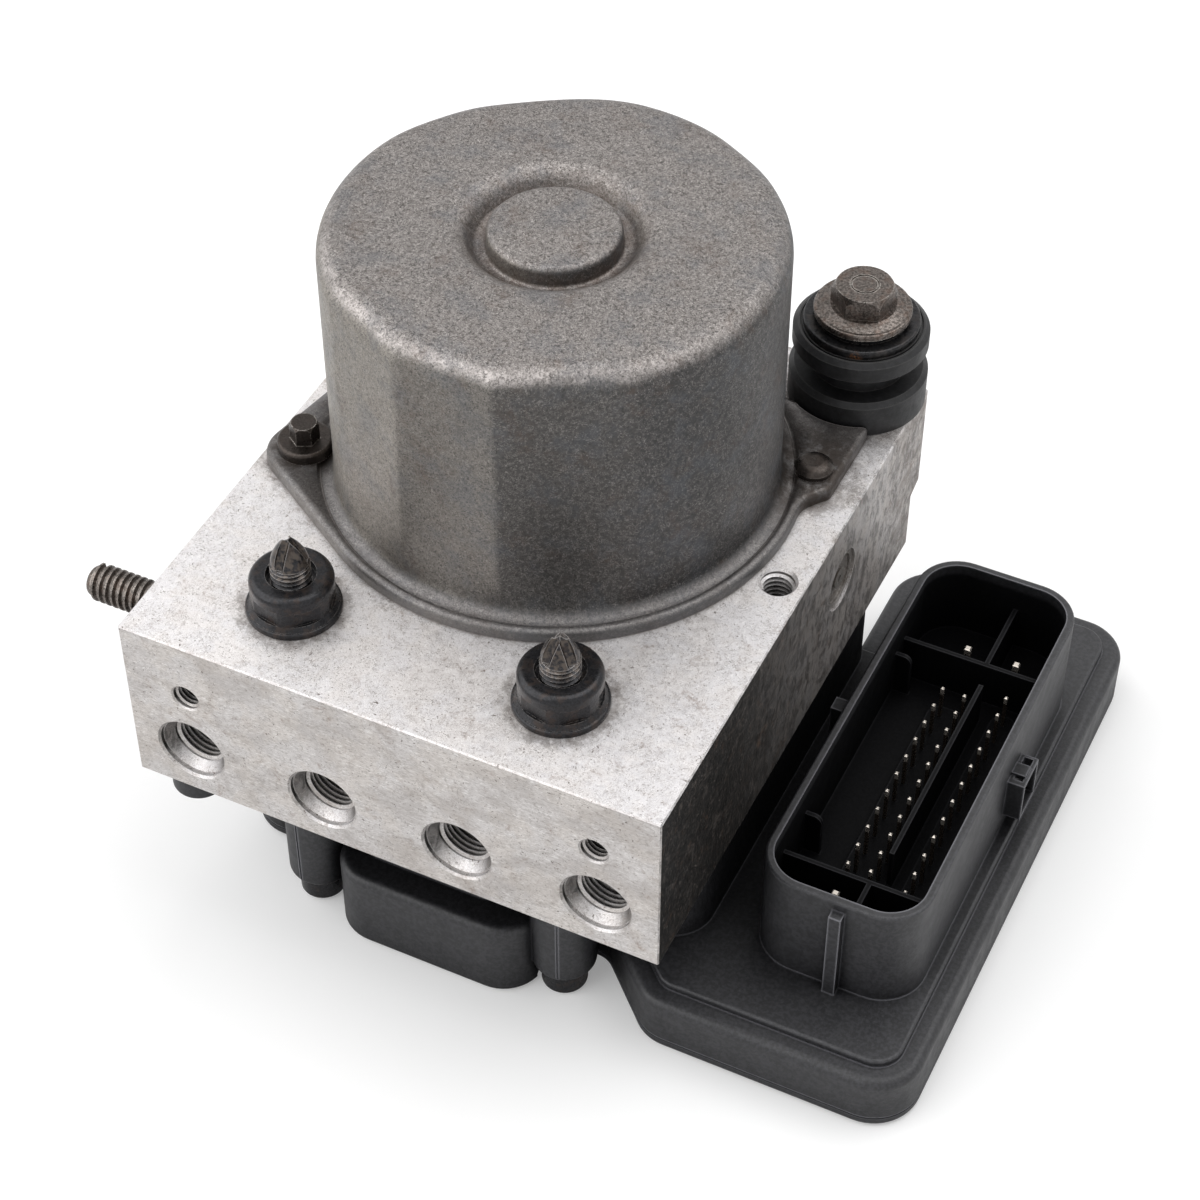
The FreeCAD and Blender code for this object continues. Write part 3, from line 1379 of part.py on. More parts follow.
def export_all():
    os.makedirs("parts", exist_ok=True)
    export("valve_body", make_valve_body())
    export("motor_housing", make_motor_housing())
    export("motor_bolts", make_motor_bolts())
    export("motor_seal", make_motor_seal())
    export("long_screws", make_long_screws())
    export("flange_nuts", make_flange_nuts())
    export("side_stud", make_side_stud())
    export("mount_grommet", make_mount_grommet())
    export("mount_sleeve", make_mount_sleeve())
    export("mount_washer", make_mount_washer())
    export("mount_bolt", make_mount_bolt())
    export("locating_plug", make_locating_plug())
    export("lower_bearing", make_lower_bearing())
    export("upper_bearing", make_upper_bearing())
    export("rotor_shaft", make_rotor_shaft())
    export("eccentric_bearing", make_eccentric_bearing())
    export("armature_core", make_armature_core())
    export("armature_windings", make_armature_windings())
    export("commutator", make_commutator())
    export("magnets", make_magnets())
    export("brush_holder", make_brush_holder())
    export("motor_lead", make_motor_lead())
    export("pump_plug", make_pump_plug())
    for side, name in ((-1, "left"), (1, "right")):
        export("brush_" + name, make_brush(side))
        export("brush_spring_" + name, make_brush_spring(side))
        export("pump_plunger_" + name, make_plunger(side))
        export("pump_spring_" + name, make_pump_spring(side))
    for (face_x, inward), name in zip(store_sides(), ("left", "right")):
        export("accumulator_cap_" + name, make_store_cap(face_x, inward))
        export("accumulator_piston_" + name, make_store_piston(face_x, inward))
        export("accumulator_spring_" + name, make_store_spring(face_x, inward))
    for y, name in ((inlet_row_from_front, "inlet"), (outlet_row_from_front, "outlet")):
        export(name + "_valves", row_of(make_valve, y))
        export(name + "_coils", row_of(make_coil, y))
        for i, x in enumerate(valve_xs):
            export("%s_armature_%d" % (name, i + 1), make_armature(x, y))
    export("electronics_housing", make_electronics_housing())
    export("housing_seal", make_housing_seal())
    export("electronics_cover", make_electronics_cover())
    export("rear_screws", make_rear_screws())
    export("signal_pins", make_pins(pin_width))
    export("power_pins", make_pins(power_pin_width))
    export("circuit_board", make_circuit_board())
    export("control_chip", make_control_chip())
    export("capacitor", make_capacitor())


export_all()
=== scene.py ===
import json
import math
import bpy
import bmesh
from mathutils import Matrix, Vector


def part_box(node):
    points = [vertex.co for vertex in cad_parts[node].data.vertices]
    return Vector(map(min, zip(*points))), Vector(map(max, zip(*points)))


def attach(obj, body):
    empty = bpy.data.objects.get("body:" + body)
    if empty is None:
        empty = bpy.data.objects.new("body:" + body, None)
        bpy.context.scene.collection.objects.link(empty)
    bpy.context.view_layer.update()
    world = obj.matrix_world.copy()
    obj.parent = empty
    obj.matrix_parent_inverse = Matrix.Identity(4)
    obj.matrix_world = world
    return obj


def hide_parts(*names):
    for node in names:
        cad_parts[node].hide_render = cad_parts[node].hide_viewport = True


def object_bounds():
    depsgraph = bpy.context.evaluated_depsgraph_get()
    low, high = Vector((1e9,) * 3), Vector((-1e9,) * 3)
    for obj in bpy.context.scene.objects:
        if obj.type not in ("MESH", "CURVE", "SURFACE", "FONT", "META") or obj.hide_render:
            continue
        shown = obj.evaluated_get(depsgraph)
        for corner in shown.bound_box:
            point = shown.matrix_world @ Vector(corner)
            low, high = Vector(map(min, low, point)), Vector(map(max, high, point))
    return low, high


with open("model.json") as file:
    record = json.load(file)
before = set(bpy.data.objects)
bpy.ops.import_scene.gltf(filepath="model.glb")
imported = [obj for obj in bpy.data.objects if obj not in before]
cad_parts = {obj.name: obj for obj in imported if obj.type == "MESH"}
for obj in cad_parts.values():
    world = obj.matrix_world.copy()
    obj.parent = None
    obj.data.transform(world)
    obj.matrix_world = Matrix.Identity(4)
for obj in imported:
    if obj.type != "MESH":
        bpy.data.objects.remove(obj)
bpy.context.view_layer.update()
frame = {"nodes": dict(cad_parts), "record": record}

mm = 0.001
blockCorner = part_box("valve_body")[0]  # lower front left corner of the block
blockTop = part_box("valve_body")[1][2]


def spot(x, y, z):  # millimetres from the block's corner to the frame
    return Vector((blockCorner[0] + x * mm, blockCorner[1] + y * mm, blockCorner[2] + z * mm))


def tone(red, green, blue):  # screen colour 0-255 to linear
    channels = []
    for value in (red, green, blue):
        value = value / 255
        channels.append(value / 12.92 if value <= 0.04045 else ((value + 0.055) / 1.055) ** 2.4)
    return (*channels, 1.0)


# node helpers

class Finish:
    def __init__(self, name):
        self.material = bpy.data.materials.new(name)
        self.material.use_nodes = True
        self.tree = self.material.node_tree
        self.tree.nodes.clear()
        self.shader = self.add("ShaderNodeBsdfPrincipled")
        output = self.add("ShaderNodeOutputMaterial")
        self.tree.links.new(self.shader.outputs["BSDF"], output.inputs["Surface"])
        self.place = self.add("ShaderNodeTexCoord").outputs["Object"]
        self.normal = self.add("ShaderNodeNewGeometry").outputs["Normal"]

    def add(self, kind, **settings):
        node = self.tree.nodes.new(kind)
        for key, value in settings.items():
            setattr(node, key, value)
        return node

    def feed(self, socket, value):
        if isinstance(value, bpy.types.NodeSocket):
            self.tree.links.new(value, socket)
        else:
            socket.default_value = value

    def mapped(self, stretch=(1, 1, 1), turn=(0, 0, 0), shift=(0, 0, 0)):
        node = self.add("ShaderNodeMapping")
        self.feed(node.inputs["Vector"], self.place)
        node.inputs["Scale"].default_value = stretch
        node.inputs["Rotation"].default_value = [math.radians(a) for a in turn]
        node.inputs["Location"].default_value = shift
        return node.outputs["Vector"]

    def grain(self, size, detail=3.0, rough=0.55, distort=0.0, **mapping):  # size of a blotch in millimetres
        node = self.add("ShaderNodeTexNoise")
        self.feed(node.inputs["Vector"], self.mapped(**mapping))
        node.inputs["Scale"].default_value = 1 / (size * mm)
        node.inputs["Detail"].default_value = detail
        node.inputs["Roughness"].default_value = rough
        node.inputs["Distortion"].default_value = distort
        return node.outputs["Fac"]

    def band(self, value, low, high, start=0.0, end=1.0):
        node = self.add("ShaderNodeMapRange", interpolation_type="SMOOTHSTEP")
        self.feed(node.inputs["Value"], value)
        for key, number in (("From Min", low), ("From Max", high), ("To Min", start), ("To Max", end)):
            node.inputs[key].default_value = number
        return node.outputs["Result"]

    def calc(self, operation, first, second=0.0):
        node = self.add("ShaderNodeMath", operation=operation)
        self.feed(node.inputs[0], first)
        self.feed(node.inputs[1], second)
        return node.outputs[0]

    def times(self, *values):
        result = values[0]
        for value in values[1:]:
            result = self.calc("MULTIPLY", result, value)
        return result

    def most(self, *values):
        result = values[0]
        for value in values[1:]:
            result = self.calc("MAXIMUM", result, value)
        return result

    def mix(self, amount, first, second, way="MIX"):
        node = self.add("ShaderNodeMix", data_type="RGBA", blend_type=way)
        self.feed(node.inputs["Factor"], amount)
        self.feed(node.inputs[6], first)
        self.feed(node.inputs[7], second)
        return node.outputs[2]

    def lines(self, size, width, distort=2.0, **mapping):  # thin wandering lines
        value = self.grain(size, 1.0, 0.4, distort, **mapping)
        away = self.calc("ABSOLUTE", self.calc("SUBTRACT", value, 0.5))
        return self.band(away, 0.0, width, 1.0, 0.0)

    def near(self, point, inside, outside, flat=True):  # 1 near a point, 0 far from it
        scale = self.add("ShaderNodeVectorMath", operation="MULTIPLY")
        self.feed(scale.inputs[0], self.place)
        scale.inputs[1].default_value = (1, 1, 0) if flat else (1, 1, 1)
        node = self.add("ShaderNodeVectorMath", operation="DISTANCE")
        self.feed(node.inputs[0], scale.outputs[0])
        node.inputs[1].default_value = (point[0], point[1], 0) if flat else point
        return self.band(node.outputs["Value"], inside * mm, outside * mm, 1.0, 0.0)

    def axis(self, index, vector=None):
        node = self.add("ShaderNodeSeparateXYZ")
        self.feed(node.inputs[0], vector or self.place)
        return node.outputs[index]

    def facing(self, index, sign=1):  # 1 where the surface looks along an axis
        return self.band(self.calc("MULTIPLY", self.axis(index, self.normal), sign), 0.35, 0.85)

    def edges(self, radius, low=0.02, high=0.25):  # 1 on edges and corners
        node = self.add("ShaderNodeBevel", samples=6)
        node.inputs["Radius"].default_value = radius * mm
        dot = self.add("ShaderNodeVectorMath", operation="DOT_PRODUCT")
        self.feed(dot.inputs[0], node.outputs["Normal"])
        self.feed(dot.inputs[1], self.normal)
        return self.band(self.calc("SUBTRACT", 1.0, dot.outputs["Value"]), low, high)

    def hollow(self, distance, deep=0.15, clear=0.65):  # 1 deep inside holes and corners
        node = self.add("ShaderNodeAmbientOcclusion", samples=6)
        node.inputs["Distance"].default_value = distance * mm
        return self.band(node.outputs["AO"], deep, clear, 1.0, 0.0)

    def bump(self, height, depth):  # depth in millimetres
        node = self.add("ShaderNodeBump")
        node.inputs["Strength"].default_value = 1.0
        node.inputs["Distance"].default_value = depth * mm
        self.feed(node.inputs["Height"], height)
        self.feed(self.shader.inputs["Normal"], node.outputs["Normal"])

    def finish(self, color, roughness, metallic=0.0):
        self.feed(self.shader.inputs["Base Color"], color)
        self.feed(self.shader.inputs["Roughness"], roughness)
        self.shader.inputs["Metallic"].default_value = metallic
        return self.material


# finishes

nutPlaces = [spot(24.2, 17.0, 35.6), spot(74.1, 17.0, 35.6)]
earPlaces = [spot(7.72, 49.94, 35.6), spot(90.5, 83.37, 35.6)]
bushPlace = spot(88.3, 108.8, 35.6)


def blockFinish():
    look = {
        # face tones: partly the faces' own finish, partly painted light with the top lighter and the sides
        # darker
        "front": tone(218, 214, 211), "top": tone(236, 233, 233),
        "side": tone(208, 203, 200), "paintedSideReflection": tone(36, 35, 34), "paintedReflectionFade": (-45, 45),  # painted reflection of the dark housing on the sides, dark at the front
        "dark": tone(140, 131, 125), "bright": tone(252, 250, 249), "dirt": tone(88, 76, 67),
        "rust": tone(124, 98, 80), "lilac": tone(204, 205, 214), "warm": tone(212, 201, 191),
        # deep tone and depth of the painted shade inside the bores
        "deep": tone(33, 29, 26), "holeShadeDepth": 9.0, "edgeWidth": 0.16,
        "halos": ((nutPlaces, 8.0, 13.0), (earPlaces, 6.5, 13.0), ([bushPlace], 11.5, 22.0)),
        "canRing": (43.0, 50.0), "roughness": (0.38, 0.52), "metal": 0.6, "bumpDepth": 0.03,
    }
    share = {  # how strongly each layer shows
        "tint": 0.22, "smudge": 0.5, "hair": 0.62, "shine": 0.8, "dashes": 0.5, "glints": 0.5, "patches": 0.3,
        "flecks": 0.6, "dots": 0.85, "brown": 0.55, "streaks": 0.6, "holes": 0.97, "worn": 0.75,
    }
    f = Finish("blockAluminium")
    onTop = f.facing(2)
    onFront = f.facing(1, -1)
    onSide = f.facing(0)
    # face tones, partly painted light: top lightest, sides darker and darkened towards the front by a painted
    # reflection of the dark housing
    fadeStart, fadeEnd = look["paintedReflectionFade"]
    sidePaintedLight = f.mix(f.band(f.axis(1), fadeStart * mm, fadeEnd * mm), look["paintedSideReflection"], look["side"])
    color = f.mix(onFront, sidePaintedLight, look["front"])
    color = f.mix(onTop, color, look["top"])
    tint = f.mix(f.band(f.grain(7, 3.0, 0.6), 0.42, 0.6), look["lilac"], look["warm"])
    color = f.mix(share["tint"], color, tint, "MULTIPLY")
    smudge = f.times(f.band(f.grain(3.6, 6.0, 0.72, 1.4), 0.5, 0.7),
                     f.band(f.grain(0.6, 4.0, 0.7), 0.3, 0.62))
    color = f.mix(f.times(smudge, share["smudge"]), color, look["dark"])
    hair = f.times(f.lines(1.0, 0.06, 3.0), f.band(f.grain(2.2, 3.0), 0.38, 0.56))
    color = f.mix(f.times(hair, onTop, share["hair"]), color, look["dark"])
    shine = f.lines(0.85, 0.07, 3.4, shift=(2, 5, 1))
    color = f.mix(f.times(shine, onTop, share["shine"]), color, look["bright"])
    dashes = f.band(f.grain(0.34, 4.0, 0.66, 1.2, stretch=(0.28, 1, 1.2), turn=(0, -8, 0)), 0.5, 0.66)
    color = f.mix(f.times(dashes, onFront, share["dashes"]), color, look["dark"])
    glints = f.grain(0.3, 3.0, 0.6, 0.8, stretch=(0.3, 1, 1.3), turn=(0, -6, 0), shift=(1, 2, 4))
    glints = f.band(glints, 0.52, 0.68)
    color = f.mix(f.times(glints, onFront, share["glints"]), color, look["bright"])
    patches = f.band(f.grain(9, 4.0, 0.62, 0.8, stretch=(0.7, 1, 1), shift=(0, 5, 3)), 0.44, 0.62)
    color = f.mix(f.times(patches, onFront, share["patches"]), color, look["dark"])
    flecks = f.band(f.grain(0.5, 3.0, 0.65, 1.0), 0.56, 0.68)
    color = f.mix(f.times(flecks, share["flecks"]), color, look["dark"])
    dots = f.times(f.band(f.grain(0.55, 2.0, 0.6, 0.6, shift=(5, 5, 2)), 0.64, 0.7),
                   f.band(f.grain(4), 0.42, 0.54))
    color = f.mix(f.times(dots, share["dots"]), color, look["dirt"])
    brown = f.times(f.band(f.grain(4.5, 5.0, 0.7, 0.8, shift=(4, 4, 0)), 0.54, 0.72),
                    f.band(f.grain(0.7, 4.0, 0.7), 0.36, 0.6))
    color = f.mix(f.times(brown, share["brown"]), color, look["rust"])
    # dark scratches on the sides, drawn in the tone of the painted reflection
    streaks = f.band(f.grain(0.8, 5.0, 0.7, 0.6, stretch=(1, 0.4, 0.24), turn=(24, 0, 0)), 0.44, 0.62)
    color = f.mix(f.times(streaks, onSide, share["streaks"]), color, look["paintedSideReflection"])
    ruffle = f.grain(1.5, 6.0, 0.78)
    around = f.grain(6, 3.0)
    soiled = []  # dirt round whatever stands on the block
    for places, inner, outer in look["halos"]:
        for point in places:
            halo = f.calc("MULTIPLY_ADD", f.near(point, inner, outer), 0.3)
            halo.node.inputs[2].default_value = 0.3
            soiled.append(f.times(f.near(point, inner + 0.5, outer),
                                  f.band(f.calc("ADD", ruffle, halo), 0.9, 1.08)))
    ring = f.times(f.near((0, 0, 0), *look["canRing"]), onTop, f.band(around, 0.4, 0.6))
    soiled.append(f.times(ring, f.band(ruffle, 0.46, 0.6)))
    patchy = f.band(f.grain(3.0, 4.0, 0.7, shift=(6, 2, 0)), 0.34, 0.6, 0.1, 0.6)
    color = f.mix(f.times(f.most(*soiled), patchy), color, look["dirt"])
    # painted shade deep inside the ports and other bores
    holes = f.hollow(look["holeShadeDepth"], 0.2, 0.62)
    color = f.mix(f.times(holes, share["holes"]), color, look["deep"])
    # edges lighter: wear, plus a painted highlight
    worn = f.times(f.edges(look["edgeWidth"]), f.band(f.grain(0.8, 3.0), 0.3, 0.5))
    color = f.mix(f.times(worn, share["worn"]), color, look["bright"])
    rough = f.band(f.grain(1.6, 4.0, 0.65), 0.3, 0.7, *look["roughness"])
    f.bump(f.grain(0.3, 4.0, 0.7), look["bumpDepth"])
    return f.finish(color, rough, look["metal"])


def canFinish():
    look = {
        # top lighter than the sides, and a lit side tone on the left: painted light
        "top": tone(141, 136, 133), "topDark": tone(82, 77, 74),
        "side": tone(74, 73, 73), "sideDark": tone(54, 53, 52), "paintedLitSide": tone(152, 146, 138),
        "light": tone(202, 196, 192), "brown": tone(92, 76, 66), "blue": tone(92, 98, 106),
        "rim": tone(206, 199, 196), "rimFrom": 32.0, "rimRise": (46.5, 50.5),
        "groove": (11.4, 15.6), "grooveRise": (48.0, 53.0),
        "plate": tone(104, 103, 104), "plateRise": (3.4, 2.6),
        "grime": tone(58, 50, 44), "earGrime": (9.0, 19.0),  # reach of the dirt at the left and right ear
        # where the painted highlight on the rim fades from the front
        "rimHighlightFade": (-6, -30), "cornerDepth": 2.0,
        "roughness": (0.4, 0.55), "metal": 0.66, "bumpDepth": 0.05,
    }
    share = {  # how strongly each layer shows
        # the rim share at the front is a painted highlight
        "pits": 0.6, "brown": 0.45, "blue": 0.3, "groove": 0.5, "rim": 0.1, "rimHighlightInFront": 0.6, "plate": 0.5,
        "bead": 0.75, "ears": 0.88, "corners": 0.35,
    }
    f = Finish("motorCanSteel")
    onTop = f.facing(2)
    height = f.axis(2)
    speckle = f.band(f.grain(0.5, 4.0, 0.72, 1.6), 0.4, 0.56)
    # painted light: sides lighter towards the left and darker to the right, top lighter than the sides
    sidePaintedLight = f.mix(f.band(f.axis(0, f.normal), -0.75, 0.8), look["paintedLitSide"], look["side"])
    plain = f.mix(onTop, sidePaintedLight, look["top"])
    color = f.mix(speckle, f.mix(onTop, f.mix(0.5, sidePaintedLight, look["sideDark"]), look["topDark"]), plain)
    curls = f.times(f.lines(0.8, 0.06, 3.0), f.band(f.grain(0.8, 2.0), 0.4, 0.52))
    color = f.mix(f.times(curls, f.band(onTop, 0.0, 1.0, 0.35, 0.72)), color, look["light"])
    pits = f.band(f.grain(0.38, 2.0, 0.6, shift=(3, 3, 3)), 0.56, 0.66)
    color = f.mix(f.times(pits, share["pits"]), color, look["sideDark"])
    brown = f.times(f.band(f.grain(7, 6.0, 0.7, shift=(3, 1, 2)), 0.5, 0.72),
                    f.band(f.grain(0.9, 3.0), 0.3, 0.6))
    color = f.mix(f.times(brown, share["brown"]), color, look["brown"])
    bluish = f.band(f.grain(8, 6.0, 0.7, shift=(7, 4, 1)), 0.46, 0.66)
    color = f.mix(f.times(bluish, share["blue"]), color, look["blue"])
    inner, outer = look["groove"]
    inGroove = f.times(f.near((0, 0, 0), outer, outer + 1.4),
                       f.calc("SUBTRACT", 1.0, f.near((0, 0, 0), inner - 1, inner)))
    low, high = look["grooveRise"]
    grooveGrime = f.times(inGroove, f.band(height, blockTop + low * mm, blockTop + high * mm, 1.0, 0.25),
                          f.band(f.grain(2.2, 4.0, 0.7), 0.3, 0.6))
    color = f.mix(f.times(grooveGrime, share["groove"]), color, look["brown"])
    # speckled wear on the top rim, with a painted highlight that is stronger at the front
    fadeStart, fadeEnd = look["rimHighlightFade"]
    front = f.times(f.band(f.axis(1), fadeStart * mm, fadeEnd * mm), share["rimHighlightInFront"])
    upward = f.axis(2, f.normal)
    turning = f.times(f.band(upward, 0.35, 0.7), f.band(upward, 0.82, 0.97, 1.0, 0.0))
    low, high = look["rimRise"]
    rimBand = f.times(turning, f.band(height, blockTop + low * mm, blockTop + high * mm),
                      f.calc("SUBTRACT", 1.0, f.near((0, 0, 0), look["rimFrom"] - 2, look["rimFrom"])))
    rimScuffAndHighlight = f.times(rimBand, f.band(f.grain(0.6, 5.0, 0.75, 1.0), 0.4, 0.58),
                      f.band(f.grain(4, 3.0), 0.36, 0.6, 0.3, 1.0))
    color = f.mix(f.times(rimScuffAndHighlight, f.calc("ADD", front, share["rim"])), color, look["rim"])
    high, low = look["plateRise"]
    onPlate = f.band(height, blockTop + high * mm, blockTop + low * mm)
    color = f.mix(f.times(onPlate, share["plate"]), color, look["plate"])
    bead = f.times(onPlate, f.edges(0.5, 0.01, 0.16), f.band(f.grain(1.2, 4.0, 0.7), 0.3, 0.5))
    color = f.mix(f.times(bead, share["bead"]), color, look["rim"])
    for point, outer in zip(earPlaces, look["earGrime"]):
        dirty = f.times(f.near(point, 4.0, outer), onPlate, f.band(f.grain(2.4, 5.0, 0.7), 0.3, 0.56))
        color = f.mix(f.times(dirty, share["ears"]), color, look["grime"])
    color = f.mix(f.times(f.hollow(look["cornerDepth"]), share["corners"]), color, look["brown"])
    rough = f.band(f.grain(1.4, 4.0), 0.3, 0.7, *look["roughness"])
    f.bump(f.grain(0.4, 5.0, 0.7), look["bumpDepth"])
    return f.finish(color, rough, look["metal"])


def steelFinish(name, look):
    f = Finish(name)
    speckle = f.band(f.grain(look["grain"], 3.0, 0.7), 0.36, 0.66)
    color = f.mix(speckle, look["dark"], look["base"])
    stain = f.times(f.band(f.grain(2.4, 5.0, 0.7), 0.48, 0.64), look["stainShare"])
    color = f.mix(stain, color, look["stain"])
    if "shaded" in look:
        for point in earPlaces:
            color = f.mix(f.times(f.near(point, 6.5, 7.5), 0.85), color, look["shaded"])
    # edges lighter: wear, plus a painted highlight
    worn = f.times(f.edges(look["edgeWearSheenWidth"]), f.band(f.grain(0.6, 4.0, 0.7), 0.34, 0.56), look["edgeWearSheenShare"])
    color = f.mix(worn, color, look["edgeWearSheen"])
    if "rustSpot" in look:
        point, tint = look["rustSpot"]
        rusty = f.times(f.near(point, 0.4, 1.7, flat=False), f.band(f.grain(0.4, 3.0), 0.4, 0.55))
        color = f.mix(rusty, color, tint)
    rough = f.band(f.grain(1.2, 3.0), 0.3, 0.7, *look["roughness"])
    if "tip" in look:  # painted highlight on the ends, from this height up
        low, tint = look["tip"]
        ends = f.band(f.axis(2), low * mm, (low + 0.35) * mm)
        color = f.mix(ends, color, tint)
    if "polished" in look:  # smoother from this height up
        low, smooth, tint = look["polished"]
        above = f.band(f.axis(2), low * mm, (low + 0.4) * mm)
        rough = f.calc("MULTIPLY", rough, f.band(above, 0.0, 1.0, 1.0, smooth))
        color = f.mix(f.times(above, f.band(f.grain(0.9, 3.0), 0.4, 0.6)), color, tint)
        # painted highlight on the edges of the smoother part
        color = f.mix(f.times(above, f.edges(0.25, 0.004, 0.1), 0.8), color, look["edgeWearSheen"])
    f.bump(f.grain(look["grain"] * 0.6, 3.0, 0.65), look["bumpDepth"])
    return f.finish(color, rough, look["metal"])


def plasticFinish(name, look):
    f = Finish(name)
    mottle = f.band(f.grain(look["grain"], 3.0, 0.65), 0.4, 0.62)
    color = f.mix(mottle, look["dark"], look["base"])
    dust = f.times(f.band(f.grain(0.4, 2.0, 0.6), 0.62, 0.76), look["dustShare"])
    color = f.mix(dust, color, look["dust"])
    # edges lighter: wear, plus a painted highlight
    worn = f.times(f.edges(look["edgeWidth"], 0.004, 0.07), f.band(f.grain(1.1, 4.0, 0.7), 0.1, 0.45),
                   look["edgeShare"])
    color = f.mix(worn, color, look["edge"])
    gloss = look.get("gloss", 0.5)
    if "inside" in look:  # painted shade: black inside the plug socket, a box with round corners in frame millimetres
        lowX, highX, lowY, highY, highZ, corner, tint = look["inside"]
        past = []
        for index, low, high in ((0, lowX, highX), (1, lowY, highY)):
            away = f.calc("ABSOLUTE", f.calc("SUBTRACT", f.axis(index), (low + high) / 2 * mm))
            over = f.calc("MAXIMUM", f.calc("SUBTRACT", away, ((high - low) / 2 - corner) * mm), 0.0)
            past.append(f.calc("MULTIPLY", over, over))
        reach = f.calc("SQRT", f.calc("ADD", *past))
        paintedSocketShade = f.times(f.band(reach, (corner - 0.1) * mm, corner * mm, 1.0, 0.0),
                         f.band(f.axis(2), highZ * mm, (highZ - 1.5) * mm))
        color = f.mix(f.times(paintedSocketShade, 0.85), color, tint)
        gloss = f.band(paintedSocketShade, 0.0, 1.0, gloss, 0.06)
    if "shadeDepth" in look:
        deep = f.hollow(look["shadeDepth"], 0.2, 0.78)
        color = f.mix(f.times(deep, 0.8), color, look["shade"])
        gloss = f.calc("MULTIPLY", f.band(deep, 0.0, 1.0, 1.0, 0.12), gloss)
    f.feed(f.shader.inputs["Specular IOR Level"], gloss)
    rough = f.band(f.grain(3.5, 3.0), 0.3, 0.7, *look["roughness"])
    f.bump(f.grain(look["bumpSize"], 3.0, 0.6), look["bumpDepth"])
    return f.finish(color, rough)


